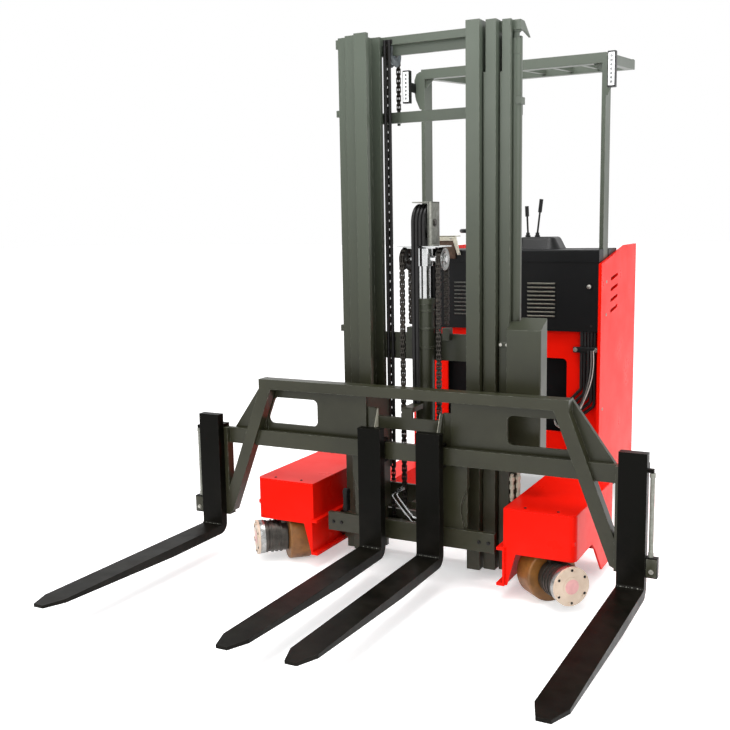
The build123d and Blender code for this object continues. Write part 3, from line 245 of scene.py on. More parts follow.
MATERIALS = {
    # red machine enamel, a little orange peel, dusty low down
    "red_paint": surface(
        "red_enamel", "#F21808", "#EE1607", 160, (0.26, 0.36), grain_mm=2.2, bump_mm=0.03, bevel_mm=3.0,
        shine=0.05, edge_wear_and_highlight="#A8231B", edge_wear_and_highlight_share=0.1, dust=0.05, dust_top=0.35,
    ),
    # olive grey paint of the mast and frames, made paler towards the top as a painted highlight, with pale
    # edges that are partly wear and partly a painted edge highlight
    "mast_paint": surface(
        "olive_grey_enamel", "#2F2F1F", "#272719", 220, (0.30, 0.42), grain_mm=2.5, bump_mm=0.03,
        bevel_mm=3.0, coat=0.05, shine=0.30, edge_wear_and_highlight="#94968A", edge_wear_and_highlight_share=0.7, dust=0.08, dust_top=0.6,
        top_highlight="#575F54",
    ),
    # satin black forks, scuffed at the edges
    "fork_black": surface(
        "fork_enamel", "#060603", "#090806", 90, (0.28, 0.42), grain_mm=1.6, bump_mm=0.05, bevel_mm=2.5,
        shine=0.06, edge_wear_and_highlight="#4A4740", edge_wear_and_highlight_share=0.6, dust=0.04, dust_top=0.4,
    ),
    # black textured powder coat of the panels
    "panel_black": surface(
        "black_powder_coat", "#0B0C0D", "#08090A", 120, (0.38, 0.5), grain_mm=1.2, bump_mm=0.05, bevel_mm=1.5,
        shine=0.18, edge_wear_and_highlight="#2C2D2E", dust=0.08, dust_top=0.4,
    ),
    # golden polyurethane tread
    "tread_polyurethane": surface(
        "cast_polyurethane", "#8A5A22", "#6F4619", 40, (0.35, 0.5), grain_mm=2.0, bump_mm=0.05, bevel_mm=3,
        shine=0.4, edge_wear_and_highlight="#B98A45", edge_wear_and_highlight_share=0.4, dust=0.22, dust_top=0.2,
    ),
    # machined and cast steel, darkened
    "bare_steel": surface(
        "machined_steel", "#4E4B47", "#353330", 60, (0.3, 0.5), grain_mm=1.0, bump_mm=0.04, metallic=0.85,
        edge_wear_and_highlight="#8C8880", dust=0.12, dust_top=0.3,
    ),
    # hard chrome of the rods and bent pipes
    "rod_chrome": surface(
        "hard_chrome", "#D9DADA", "#C4C6C6", 80, (0.10, 0.22), grain_mm=4, bump_mm=0.01, metallic=1.0,
    ),
    # oiled leaf chain
    "chain_steel": surface(
        "oiled_chain_steel", "#37332E", "#211E1B", 12, (0.3, 0.5), grain_mm=0.8, bump_mm=0.03, bevel_mm=0.5,
        metallic=0.7, edge_wear_and_highlight="#8C877E", edge_wear_and_highlight_share=0.6,
    ),
    # smooth hydraulic hose cover
    "hose_rubber": surface(
        "hose_cover", "#121010", "#0C0B0B", 30, (0.35, 0.5), grain_mm=1.5, bump_mm=0.08, shine=0.3,
    ),
    # dull rubber of the mat, the pad and the buffers
    "pad_rubber": surface(
        "mat_rubber", "#191918", "#111110", 40, (0.65, 0.85), grain_mm=1.5, bump_mm=0.15, shine=0.3,
    ),
    # moulded black plastic
    "console_plastic": surface(
        "moulded_plastic", "#0E0F0F", "#0A0B0B", 90, (0.32, 0.45), grain_mm=0.9, bump_mm=0.06, shine=0.3,
    ),
    # painted tray of the battery
    "battery_case": surface(
        "battery_tray", "#0B0C0D", "#08090A", 140, (0.5, 0.7), grain_mm=2, bump_mm=0.05, shine=0.1,
    ),
    # pale cover plates of the wheel drives
    "plate_beige": surface(
        "pale_plate_enamel", "#D9C6B2", "#CDB8A3", 60, (0.35, 0.5), grain_mm=1.5, bump_mm=0.04,
        edge_wear_and_highlight="#8C7C6F", dust=0.08, dust_top=0.3,
    ),
}
# pinkish centre discs of the wheel drives
PINK = surface("pink_cap_enamel", "#DFA6A4", "#D39B99", 30, (0.3, 0.45), grain_mm=1.2, bump_mm=0.03)
# zinc plated bolts and screws
ZINC = surface("zinc_plating", "#B4B2AA", "#93918A", 8, (0.25, 0.4), grain_mm=0.6, bump_mm=0.02, metallic=0.9)
# blackened cap screws
BLACK_STEEL = surface(
    "blackened_steel", "#1A1918", "#121110", 8, (0.35, 0.5), grain_mm=0.6, bump_mm=0.02, metallic=0.5,
)
# glossy white lamp lens, with a faint glow for the light that it scatters
LENS = surface(
    "lamp_lens", "#F4F5F5", "#E9ECEC", 6, (0.05, 0.12), grain_mm=3, bump_mm=0.05, coat=1.0, glow=0.25,
)
# grey reflector cups of the light chips
REFLECTOR = surface(
    "lamp_reflector", "#8D8F8F", "#747676", 6, (0.2, 0.35), grain_mm=1, bump_mm=0.02, metallic=0.6,
)
# brushed band on the wheel drives and sheave faces
BRUSHED = surface(
    "brushed_steel", "#A7A8A6", "#8A8B89", 20, (0.22, 0.35), grain_mm=0.7, bump_mm=0.02, bevel_mm=0.8,
    metallic=0.95,
)
# dark turned faces of the mast sheaves
SHEAVE_GREY = surface(
    "phosphated_steel", "#5B6468", "#454C50", 30, (0.3, 0.45), grain_mm=0.9, bump_mm=0.03, metallic=0.6,
    edge_wear_and_highlight="#8A9094",
)
# galvanised sheet of the pulley guard
GALVANISED = surface(
    "galvanised_sheet", "#8E8F86", "#76776E", 14, (0.4, 0.55), grain_mm=1.4, bump_mm=0.03, metallic=0.25,
    edge_wear_and_highlight="#C9C9C2", edge_wear_and_highlight_share=0.5,
)
# pale enamel of small brackets
CREAM = surface(
    "pale_bracket_enamel", "#C9C6B4", "#B5B2A0", 25, (0.4, 0.55), grain_mm=1.3, bump_mm=0.04, edge_wear_and_highlight="#7E7A6C",
)
# yellow ABS moulding, slightly glossy
YELLOW = surface("yellow_abs", "#D8A400", "#CC9900", 20, (0.3, 0.42), grain_mm=1.0, bump_mm=0.03)
# polished cover of a dark display
GLASS_BLACK = surface(
    "display_cover", "#0A0D10", "#0D1013", 30, (0.06, 0.12), grain_mm=4, bump_mm=0.02, coat=0.8,
)
# pale and grey PVC sheath of thin cables
PALE_PVC = surface("pale_pvc_sheath", "#C4C2BA", "#B4B2AA", 12, (0.35, 0.5), grain_mm=1.0, bump_mm=0.02)
GREY_PVC = surface("grey_pvc_sheath", "#6E6E6A", "#5E5E5A", 12, (0.35, 0.5), grain_mm=1.0, bump_mm=0.02)
# weld bead, dull and uneven; its pale grey is partly a painted highlight that stands in for the bright line
# at the fork heels
WELD_AND_HIGHLIGHT = surface("weld_bead_and_highlight", "#77786F", "#4E4F48", 5, (0.4, 0.6), grain_mm=1.5, bump_mm=0.15, metallic=0.4)
# brown laminated block
BROWN = surface("brown_laminate", "#4A3220", "#35230F", 18, (0.5, 0.7), grain_mm=1.0, bump_mm=0.08)

for entry in frame["record"]["subparts"]:
    for holder in nodes[entry["node"]].material_slots:
        holder.link = "OBJECT"
        holder.material = MATERIALS[entry["material_slot"]]


# Places and sizes that several lines share, in millimetres
LIFT_CHAIN_X = 84
LIFT_SHEAVE_Y = 285
LIFT_SHEAVE_Z = 1359
LIFT_CHAIN_RADIUS = 44
MAST_CHAIN_X = 204
MAST_SHEAVE_Y = 428
MAST_SHEAVE_Z = 2238
MAST_CHAIN_RADIUS = 51
PULLEY_Z = 1512.0
HOSE_GAP = 16.16
BODY_HALF = 512
COVER_TOP = 1366
DOOR_FACE = 2034.4
# Pitch of the leaf chains in millimetres, three quarters of an inch
PITCH = 19.05


# Mesh tools

def piece(name, mesh_maker, material, body):
    """An object whose mesh a function fills, with its material, riding on a body."""
    mesh = bpy.data.meshes.new(name)
    work = bmesh.new()
    mesh_maker(work)
    bmesh.ops.recalc_face_normals(work, faces=work.faces)
    work.to_mesh(mesh)
    work.free()
    mesh.materials.append(material)
    thing = bpy.data.objects.new(name, mesh)
    bpy.context.scene.collection.objects.link(thing)
    if body:
        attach(thing, body)
    return thing


def smooth(thing, angle=35):
    """Rounded shading across edges that turn less than the angle."""
    mesh = thing.data
    for face in mesh.polygons:
        face.use_smooth = True
    work = bmesh.new()
    work.from_mesh(mesh)
    for edge in work.edges:
        if len(edge.link_faces) == 2 and edge.calc_face_angle() > math.radians(angle):
            edge.smooth = False
    work.to_mesh(mesh)
    work.free()
    return thing


def full_turn(count):
    """Angles in equal steps round a circle."""
    return [math.tau * i / count for i in range(count)]


def drawn_out(work, face, along):
    """The new end of a face that is extruded. A lone face stays as the foot, an inner one is taken out."""
    inner = any(len(edge.link_faces) > 1 for edge in face.edges)
    made = bmesh.ops.extrude_face_region(work, geom=[face])["geom"]
    end = next(item for item in made if isinstance(item, bmesh.types.BMFace))
    bmesh.ops.translate(work, verts=list(end.verts), vec=along)
    if inner:
        bmesh.ops.delete(work, geom=[face], context="FACES_ONLY")
    return end


def prism(work, outline, start, along):
    """A closed solid: the outline's points pushed along a vector."""
    face = work.faces.new([work.verts.new(start + point) for point in outline])
    corners = list(face.verts)
    return corners + list(drawn_out(work, face, along).verts)


def lathe(work, profile, centre, axis, steps):
    """A turned piece. The profile gives distances along the axis and from it, in millimetres."""
    axis = Vector(axis).normalized()
    across = axis.orthogonal().normalized()
    points = [work.verts.new(centre + axis * a / 1000 + across * r / 1000) for a, r in profile]
    edges = [work.edges.new((points[i], points[i + 1])) for i in range(len(points) - 1)]
    bmesh.ops.spin(
        work, geom=points + edges, cent=centre, axis=axis, angle=math.tau, steps=steps, use_merge=True,
    )
    bmesh.ops.remove_doubles(work, verts=work.verts, dist=0.00001)


def turned(name, profile, centre, axis, steps, material, body, angle=35):
    """A piece that is turned from one profile."""
    made = piece(name, lambda work: lathe(work, profile, centre, axis, steps), material, body)
    return smooth(made, angle)


def hex_bolt(work, head, axis, across_mm, high_mm):
    """A hexagon head on a washer, with a smaller round top in place of the chamfer."""
    axis = Vector(axis).normalized()
    u = axis.orthogonal().normalized()
    v = axis.cross(u)
    radius = across_mm / 2 / math.cos(math.pi / 6) / 1000
    for size, low, high, sides in ((radius * 1.25, 0, 1.2, 20), (radius, 1.2, high_mm * 0.85, 6)):
        ring = [(u * math.cos(t) + v * math.sin(t)) * size for t in full_turn(sides)]
        prism(work, ring, head + axis * low / 1000, axis * (high - low) / 1000)
    ring = [(u * math.cos(t) + v * math.sin(t)) * radius * 0.9 for t in full_turn(18)]
    prism(work, ring, head + axis * high_mm * 0.85 / 1000, axis * high_mm * 0.15 / 1000)


def round_screw(work, head, axis, radius_mm):
    """A low domed screw head with a sunk middle."""
    profile = (
        (0, radius_mm), (1.2, radius_mm), (2.4, radius_mm * 0.8), (2.8, radius_mm * 0.5),
        (1.4, radius_mm * 0.42), (1.4, 0),
    )
    lathe(work, profile, head, axis, 18)


# Leaf chains

def plate_outline(length, height, direction, normal):
    """Points of one waisted chain plate between two pins."""
    points = []
    for centre, start in ((0.0, math.pi / 2), (length, -math.pi / 2)):
        for i in range(6):
            turn = start + math.pi * i / 5
            along, across = height / 2 * math.cos(turn), height / 2 * math.sin(turn)
            points.append(direction * (centre + along) + normal * across)
    waist = height * 0.36
    points.insert(6, direction * length / 2 - normal * waist)
    points.append(direction * length / 2 + normal * waist)
    return points


def chain(name, pins, x, width, height, body):
    """A leaf chain along a row of pins given as (y, z) in millimetres."""
    def fill(work):
        gauge = width / 7
        for index in range(len(pins) - 1):
            a, b = (place(x, *pins[index + k]) for k in (0, 1))
            direction = (b - a).normalized()
            normal = Vector((1, 0, 0)).cross(direction)
            outline = plate_outline((b - a).length, height / 1000, direction, normal)
            for lane in (0, 3, 6) if index % 2 else (1, 2, 4, 5):
                left = Vector(((-width / 2 + lane * gauge + 0.1) / 1000, 0, 0))
                prism(work, outline, a + left, Vector(((gauge - 0.2) / 1000, 0, 0)))
        for y, z in pins:
            ring = [Vector((0, math.cos(t), math.sin(t))) * height * 0.2 / 1000 for t in full_turn(8)]
            prism(work, ring, place(x - width / 2 - 0.8, y, z), Vector(((width + 1.6) / 1000, 0, 0)))
    return piece(name, fill, MATERIALS["chain_steel"], body)


def down(y, top, foot):
    """Pins down a straight run, the last one at its foot."""
    count = round((top - foot) / PITCH)
    return [(y, top - (top - foot) * i / count) for i in range(count + 1)]


def around(y, z, radius):
    """Pins over a sheave from its front to its rear."""
    count = max(4, round(math.pi * radius / PITCH))
    turns = [math.pi - math.pi * i / count for i in range(count + 1)]
    return [(y + radius * math.cos(t), z + radius * math.sin(t)) for t in turns]


def make_lift_chains():
    """The two chains over the crosshead: each a bight on its sheave, a front run and a rear run."""
    front_y, rear_y, top = LIFT_SHEAVE_Y - LIFT_CHAIN_RADIUS, LIFT_SHEAVE_Y + LIFT_CHAIN_RADIUS, LIFT_SHEAVE_Z
    for word, x in (("left", -LIFT_CHAIN_X), ("right", LIFT_CHAIN_X)):
        bight = around(LIFT_SHEAVE_Y, LIFT_SHEAVE_Z, LIFT_CHAIN_RADIUS)
        chain(f"lift_chain_bight_{word}", bight, x, 21, 14, "crosshead")
        front = chain(f"lift_chain_front_{word}", down(front_y, top, 264), x, 21, 14, None)
        rear = chain(f"lift_chain_rear_{word}", down(rear_y, top, 1080), x, 21, 14, None)
        if word == "left":
            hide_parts("chain_front_runs")
            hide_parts("chain_rear_runs")
        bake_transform(front)
        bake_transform(rear)


def make_mast_chains():
    """The two chains over the mid stage, made as the lift chains are."""
    front_y, rear_y, top = MAST_SHEAVE_Y - MAST_CHAIN_RADIUS, MAST_SHEAVE_Y + MAST_CHAIN_RADIUS, MAST_SHEAVE_Z
    for word, x in (("left", -MAST_CHAIN_X), ("right", MAST_CHAIN_X)):
        bight = around(MAST_SHEAVE_Y, MAST_SHEAVE_Z, MAST_CHAIN_RADIUS)
        chain(f"mast_chain_bight_{word}", bight, x, 19, 10, "mid_stage")
        front = chain(f"mast_chain_front_{word}", down(front_y, top, 142), x, 19, 10, None)
        rear = chain(f"mast_chain_rear_{word}", down(rear_y, top, 1992), x, 19, 10, None)
        if word == "left":
            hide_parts("mast_chain_front_runs")
            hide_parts("mast_chain_rear_runs")
        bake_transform(front)
        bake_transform(rear)


def sheave(name, x, y, z, radius, width, body, material):
    """A grooved sheave with a recessed face, a hub and a lock ring."""
    half = width / 2
    rim = radius + 4
    profile = [
        (-half, 0), (-half, 9), (-half - 3, 10), (-half - 3, 15), (-half, 16), (-half + 2, radius * 0.55),
        (-half, radius * 0.62), (-half, rim - 1), (-half + 1, rim), (-half + 2.2, rim - 1),
        (-half + 3, radius - 7.6), (half - 3, radius - 7.6),
        (half - 2.2, rim - 1), (half - 1, rim), (half, rim - 1), (half, radius * 0.62),
        (half - 2, radius * 0.55), (half, 16), (half + 3, 15), (half + 3, 10), (half, 9), (half, 0),
    ]
    return turned(name, profile, place(x, y, z), (1, 0, 0), 48, material, body)


def make_sheaves():
    """Chain sheaves of the crosshead and of the mid stage, and the pins of the latter."""
    spot = (LIFT_SHEAVE_Y, LIFT_SHEAVE_Z)
    right = sheave("lift_sheave_right", LIFT_CHAIN_X, *spot, LIFT_CHAIN_RADIUS, 26, "crosshead", BRUSHED)
    steel = MATERIALS["chain_steel"]
    sheave("lift_sheave_left", -LIFT_CHAIN_X, *spot, LIFT_CHAIN_RADIUS, 26, "crosshead", steel)
    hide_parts("lift_sheaves")
    spot = (MAST_SHEAVE_Y, MAST_SHEAVE_Z)
    sheave("mast_sheave_right", MAST_CHAIN_X, *spot, 50, 28, "mid_stage", SHEAVE_GREY)
    left = sheave("mast_sheave_left", -MAST_CHAIN_X, *spot, 50, 28, "mid_stage", SHEAVE_GREY)
    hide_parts("mast_sheaves")
    pin = ((-18.7, 0), (-18.7, 13), (18.7, 13), (18.7, 0))
    steel = MATERIALS["bare_steel"]
    for word, x in (("right", MAST_CHAIN_X), ("left", -MAST_CHAIN_X)):
        name = f"mast_sheave_pin_{word}"
        turned(name, pin, place(x, *spot), (1, 0, 0), 24, steel, "mid_stage")


# Hoses cut in short lengths

def tube(work, points, radius_mm, steps=14):
    """A straight tube cut in short lengths."""
    spokes = [Vector((math.cos(t), math.sin(t), 0)) * radius_mm / 1000 for t in full_turn(steps)]
    end = work.faces.new([work.verts.new(points[0] + spoke) for spoke in spokes])
    for here, ahead in zip(points, points[1:]):
        end = drawn_out(work, end, ahead - here)


def make_pulley_hoses():
    """Four hoses behind the pulley and the two in front that go on to the carriage."""
    bend = 71
    front_y, rear_y, top = LIFT_SHEAVE_Y - bend, LIFT_SHEAVE_Y + bend, PULLEY_Z
    rubber = MATERIALS["hose_rubber"]

    def run(name, x, y, foot, count):
        points = [place(x, y, foot + (top - foot) * i / count) for i in range(count + 1)]
        hose = piece(name, lambda work: tube(work, points, 8), rubber, None)
        smooth(hose, 60)
        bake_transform(hose)
        return hose

    for index, x in enumerate([-28 + 9 + HOSE_GAP * i for i in range(4)]):
        rear = run(f"pulley_hose_rear_{index}", x, rear_y, 1033.3, 12)
        if index == 0:
            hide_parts("hose_rear_runs")
        if index > 1:
            continue
        front = run(f"pulley_hose_front_{index}", x, front_y, 745, 16)
        if index == 0:
            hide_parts("hose_front_runs")


# Bolts, trim and fittings

def make_bolts():
    """Hexagon heads and screws, one mesh for each row of the table, and the knob of the upper panel."""
    lid = [(s * x, y, 382) for s in (-1, 1) for x, y in ((520, 84), (655, 84), (520, 600), (655, 600))]
    side_panel = ((1376, 1203), (1376, 1037), (1330, 560), (1330, 300))
    right_side = [(BODY_HALF, y, z) for y, z in side_panel]
    left_side = [(-BODY_HALF, y, z) for y, z in side_panel]
    bracket = [(s * x, 90, 212) for s in (-1, 1) for x in (362, 322)]
    panel = [(-452, 1290, 1185), (-460, 1290, 985), (460, 1290, 985)]
    table = (
        # body, kind, places (x, y, z), axis, size, material
        ("chassis", "screw", lid, (0, 0, 1), 6, BLACK_STEEL),
        ("mast_carrier", "hex", [(352, 265, 1009), (380, 265, 1009)], (0, -1, 0), 13, ZINC),
        ("chassis", "screw", right_side, (1, 0, 0), 8, ZINC),
        ("chassis", "screw", left_side, (-1, 0, 0), 8, ZINC),
        ("chassis", "screw", panel, (0, -1, 0), 6, BLACK_STEEL),
        ("fork_carriage", "hex", bracket, (0, -1, 0), 11, BLACK_STEEL),
    )
    for index, (body, kind, spots, axis, size, material) in enumerate(table):
        def fill(work):
            for spot in spots:
                if kind == "hex":
                    hex_bolt(work, place(*spot), axis, size, size * 0.6)
                else:
                    round_screw(work, place(*spot), axis, size)
        smooth(piece(f"fasteners_{index}", fill, material, body))
    knob = ((0, 9), (4, 9), (5, 11), (12, 11), (14, 9.5), (15, 6), (15, 0))
    turned("panel_knob", knob, place(452, 1275.7, 1184), (0, -1, 0), 28, ZINC, "chassis")


def round_edges(work, verts, edge_mm):
    """Every edge at the given corners rounded."""
    edges = list(dict.fromkeys(edge for vert in verts for edge in vert.link_edges))
    bmesh.ops.bevel(
        work, geom=edges, offset=edge_mm / 1000, segments=2, affect="EDGES", profile=0.5, material=-1,
    )


def cuboid(work, x, y, z, edge_mm=1.0):
    """A box with rounded edges between two values on each axis."""
    fresh = bmesh.ops.create_cube(work, size=1)["verts"]
    for vert in fresh:
        mm = [(low + high) / 2 + part * (high - low) for (low, high), part in zip((x, y, z), vert.co)]
        vert.co = place(*mm)
    round_edges(work, fresh, edge_mm)


def outline_prism(work, points, y, edge_mm=0.8):
    """A plate whose outline is given as (x, z), between two values of y, with rounded edges."""
    flat = [place(px, y[0], pz) for px, pz in points]
    verts = prism(work, [point - flat[0] for point in flat], flat[0], Vector((0, (y[1] - y[0]) / 1000, 0)))
    round_edges(work, verts, edge_mm)


def make_brackets():
    """Small plates, straps and blocks that carry hoses, covers and pins."""
    strap = ((341, 998), (389, 998), (389, 1020), (341, 1020))
    smooth(piece(
        "box_strap", lambda work: outline_prism(work, strap, (262.0, 264.8), 0.6), MATERIALS["mast_paint"],
        "mast_carrier",
    ))

    def clamp(work):
        cuboid(work, (368, 496), (1294, 1301.6), (848, 878), 1.5)
        cuboid(work, (370, 392), (1301.6, 1319.8), (852, 874), 1.0)
        cuboid(work, (484, 495), (1301.6, 1319.8), (852, 874), 1.0)
    smooth(piece("hose_clamp", clamp, MATERIALS["console_plastic"], "chassis"))

    def clamp_bolts(work):
        for x in (380, 486):
            hex_bolt(work, place(x, 1294, 863), (0, -1, 0), 15, 8)
    smooth(piece("hose_clamp_bolts", clamp_bolts, ZINC, "chassis"))

    def bent_sheet(work):
        face = ((-374, 1416), (-272, 1416), (-247, 1342), (-230, 1342), (-256, 1442), (-374, 1442))
        outline_prism(work, face, (1262, 1267))
        cuboid(work, (-374, -256), (1262, 1330), (1437, 1442), 0.8)
        cuboid(work, (-374, -369), (1262, 1330), (1366.3, 1442), 0.8)
    smooth(piece("cover_bracket", bent_sheet, CREAM, "chassis"))
    smooth(piece(
        "cover_block", lambda work: cuboid(work, (-356, -262), (1267.2, 1283.7), (1322, 1430), 2.0), BROWN,
        "chassis",
    ))

    def bracket_screws(work):
        for x, z in ((-366, 1429), (-284, 1429), (-300, 1333), (-238, 1350)):
            round_screw(work, place(x, 1262 if z > 1340 else 1267, z), (0, -1, 0), 6)
    smooth(piece("cover_bracket_screws", bracket_screws, ZINC, "chassis"))

    def ears(work):
        for low, high in ((-145.8, -143.6), (143.6, 145.8)):
            face = [place(low, y, z) for y, z in ((76, 656), (116, 652), (116, 731), (108, 731))]
            prism(work, [point - face[0] for point in face], face[0], Vector(((high - low) / 1000, 0, 0)))
    piece("carriage_ears", ears, CREAM, "fork_carriage")

    def stop(work):
        profile = ((-12, 0), (-12, 14), (-10, 17), (10, 17), (12, 14), (12, 0))
        for z in (274, 340):
            lathe(work, profile, place(-318, 133, z), (1, 0, 0), 24)
        cuboid(work, (-328, -308), (116, 150), (253.4, 340), 4)
    smooth(piece("carriage_stop", stop, MATERIALS["pad_rubber"], "fork_carriage"))


def make_fittings():
    """Two hydraulic fittings beside the right barrel's foot, the first round and the second hexagonal."""
    profile = (
        (0, 0), (0, 7), (14, 7), (15, 10), (30, 10), (31, 7), (52, 7), (53, 11), (70, 11), (71, 8), (88, 8),
        (89, 12), (104, 12), (105, 8), (118, 7), (118, 0),
    )
    for index, (spot, sides) in enumerate((((398, 276, 345), 24), ((424, 282, 352), 6))):
        name = f"barrel_fitting_{index}"
        turned(name, profile, place(*spot), (0, 0, 1), sides, CREAM, "mast_carrier", 25)


def make_louvres():
    """Pale slats behind the right louvre and dull ones behind the left."""
    foot, top, gaps = 1030, 1196, 8
    for side, word, material in ((1, "right", CREAM), (-1, "left", GALVANISED)):
        x = sorted((side * 129, side * 274))

        def fill(work):
            for index in range(gaps + 1):
                z = foot + index * ((top - foot) / gaps)
                cuboid(work, x, (1284.2, 1285.4), (z - 3.0, z + 2.6), 0.3)
        piece(f"louvre_slats_{word}", fill, material, "chassis")


def make_pulley_guard():
    """The hose pulley with its grooves, its galvanised guard and its pin."""
    centre = place(0, LIFT_SHEAVE_Y, PULLEY_Z)
    profile = [(-28, 0), (-28, 62)]
    for i in range(4):
        start = -27 + HOSE_GAP * i
        profile += [(start, 68), (start + 1, 69), (start + 3, 62.5)]
        profile += [(start + 8, 61.6), (start + 13, 62.5), (start + 15, 69)]
    profile += [(38, 68), (38, 30), (35, 28), (35, 16), (38, 15), (38, 0)]
    wheel = turned(
        "hose_pulley_wheel", profile, centre, (1, 0, 0), 56, MATERIALS["console_plastic"],
        "crosshead",
    )

    def guard(work):
        foot, top = 1415.3, 1599
        cuboid(work, (44, 49), (231, 339), (foot, top), 1.2)
        cuboid(work, (40, 58), (231, 235.6), (foot, top), 1.2)
        cuboid(work, (-31, 49), (231, 339), (1594.4, top), 1.2)
        cuboid(work, (40, 66), (235, 300), (foot, 1421), 1.0)
    smooth(piece("hose_pulley_guard", guard, GALVANISED, "crosshead"))
    pin = ((38, 0), (38, 12), (49, 12), (49, 17), (52, 17), (52, 12), (57, 11), (57, 0))
    turned("hose_pulley_pin", pin, centre, (1, 0, 0), 28, MATERIALS["bare_steel"], "crosshead")
    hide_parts("hose_pulley")


def make_hub_details():
    """Pink centre caps, screw circles and polished bands of the steered wheels."""
    toe = math.radians(48)
    cap = ((191.7, 0), (191.7, 30), (192.5, 30), (192.9, 29), (192.9, 0))
    band = ((156, 70), (156, 75.5), (157, 76.5), (178, 76.5), (179.8, 75.5), (179.8, 70))
    for side, word in ((1, "right"), (-1, "left")):
        body = f"wheel_unit_{word}"
        axis = Vector((side * math.sin(toe), -math.cos(toe), 0))
        centre = place(side * 588, 150, 110)
        turned(f"hub_cap_{word}", cap, centre, axis, 48, PINK, body)
        turned(f"drive_band_{word}", band, centre, axis, 64, BRUSHED, body)

        def fill(work):
            u = Vector((0, 0, 1))
            v = axis.cross(u)
            for i in range(6):
                turn = math.radians(60 * i + 30)
                spot = centre + axis * 0.190 + (v * math.cos(turn) + u * math.sin(turn)) * 0.066
                round_screw(work, spot, axis, 5.5)
        smooth(piece(f"hub_screws_{word}", fill, BLACK_STEEL, body))


def make_lamp_lenses():
    """Lenses of the bar lamps with a row of seven light chips each."""
    chip = ((0, 6.5), (1.0, 6.2), (1.3, 4.8), (0.6, 3.8), (0.6, 0))
    for side, word in ((1, "right"), (-1, "left")):
        def lens(work):
            x = sorted((side * 526, side * 556))
            cuboid(work, x, (1273.2, 1276.4), (2147, 2301), 1.2)
        piece(f"lamp_lens_{word}", lens, LENS, "chassis")

        def chips(work):
            for i in range(7):
                spot = place(side * 541, 1273.2, 2164 + 20 * i)
                lathe(work, chip, spot, (0, -1, 0), 20)
        smooth(piece(f"lamp_chips_{word}", chips, REFLECTOR, "chassis"))


def make_mat_and_pad():
    """The ribbed standing mat and the padded hip rest beside the operator."""
    def slab(work, x, y, z):
        across, along = Vector(((x[1] - x[0]) / 1000, 0, 0)), Vector((0, (y[1] - y[0]) / 1000, 0))
        outline = [Vector((0, 0, 0)), across, across + along, along]
        prism(work, outline, place(x[0], y[0], z[0]), Vector((0, 0, (z[1] - z[0]) / 1000)))

    def mat(work):
        left, right, front, rear, foot, face = -7, 491, 1645, 2015, 245.3, 259.8
        slab(work, (left, right), (front, rear), (foot, face))
        for i in range(23):
            x = left + 14 + i * 20.5
            slab(work, (x, x + 8), (front + 15, rear - 15), (face, face + 3.2))
    thing = piece("standing_mat", mat, MATERIALS["pad_rubber"], "chassis")
    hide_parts("operator_pads")

    def pad(work):
        back = -11.7
        bmesh.ops.create_grid(work, x_segments=14, y_segments=14, size=1)
        for vert in work.verts:
            u, v = vert.co.x, vert.co.y
            crown = (1 - u ** 4) * (1 - v ** 4)
            vert.co = place(back + 8 + 40 * crown ** 0.45, 1840 + 138 * u, 840 + 138 * v)
        rim = [edge for edge in work.edges if edge.is_boundary]
        made = bmesh.ops.extrude_edge_only(work, edges=rim)["geom"]
        for vert in [g for g in made if isinstance(g, bmesh.types.BMVert)]:
            vert.co.x = back / 1000
        bmesh.ops.holes_fill(work, edges=[edge for edge in work.edges if edge.is_boundary])
    cushion = smooth(piece("hip_pad", pad, MATERIALS["pad_rubber"], "chassis"), 60)


def make_operator_fittings():
    """What the operator reaches from the deck: stop button, key, display, foot pedal and tread edge."""
    top, up = COVER_TOP, (0, 0, 1)
    seat = top - 0.3
    button = place(-20, 1588, seat)
    ring = ((0, 0), (0, 26), (5, 26), (6.5, 24.5), (6.5, 0))
    turned("stop_button_ring", ring, button, up, 40, YELLOW, "chassis")
    head = ((6, 0), (6, 11), (20, 11), (21, 19), (26, 20), (31, 18), (34, 13), (35.5, 6), (36, 0))
    turned("stop_button", head, button, up, 40, MATERIALS["red_paint"], "chassis")
    barrel = ((0, 0), (0, 15), (3, 15), (4, 13.5), (10, 13.5), (11, 12), (11, 0))
    turned("key_switch", barrel, place(-82, 1598, seat), up, 32, ZINC, "chassis")

    def key(work):
        cuboid(work, (-83.2, -80.8), (1592, 1604), (top + 9, top + 22), 0.6)
        cuboid(work, (-84, -80), (1585, 1611), (top + 21, top + 41), 1.4)
    smooth(piece("switch_key", key, BLACK_STEEL, "chassis"))
    smooth(piece(
        "display_housing", lambda work: cuboid(work, (-128, 0), (1470, 1556), (seat, top + 17), 5),
        MATERIALS["console_plastic"], "chassis",
    ))
    smooth(piece(
        "display_cover", lambda work: cuboid(work, (-116, -12), (1482, 1530), (top + 16.5, top + 18.2), 0.7),
        GLASS_BLACK, "chassis",
    ))

    def buttons(work):
        profile = ((0, 0), (0, 5), (1.6, 5), (2.4, 4), (2.4, 0))
        for i in range(4):
            lathe(work, profile, place(-105 + 27 * i, 1543, top + 16.8), up, 20)
    smooth(piece("display_buttons", buttons, ZINC, "chassis"))

    def pedal(work):
        cuboid(work, (52, 168), (1672, 1800), (260, 266.2), 2)
        for i in range(6):
            cuboid(work, (60, 160), (1686 + 19 * i, 1693 + 19 * i), (265.8, 267.6), 0.8)
        lathe(work, ((0, 0), (0, 3.5), (132, 3.5), (132, 0)), place(44, 1672, 264), (1, 0, 0), 20)
    smooth(piece("presence_pedal", pedal, BLACK_STEEL, "chassis"))

    def edge(work):
        cuboid(work, (4, 486), (1993, 2020.5), (262.6, 265.4), 0.8)
        cuboid(work, (4, 486), (2019.5, 2023), (236, 265.4), 0.8)
        for i in range(6):
            cuboid(work, (10, 480), (1995.5 + 4 * i, 1997.5 + 4 * i), (265.2, 266.2), 0.3)
    smooth(piece("tread_edge", edge, BRUSHED, "chassis"))


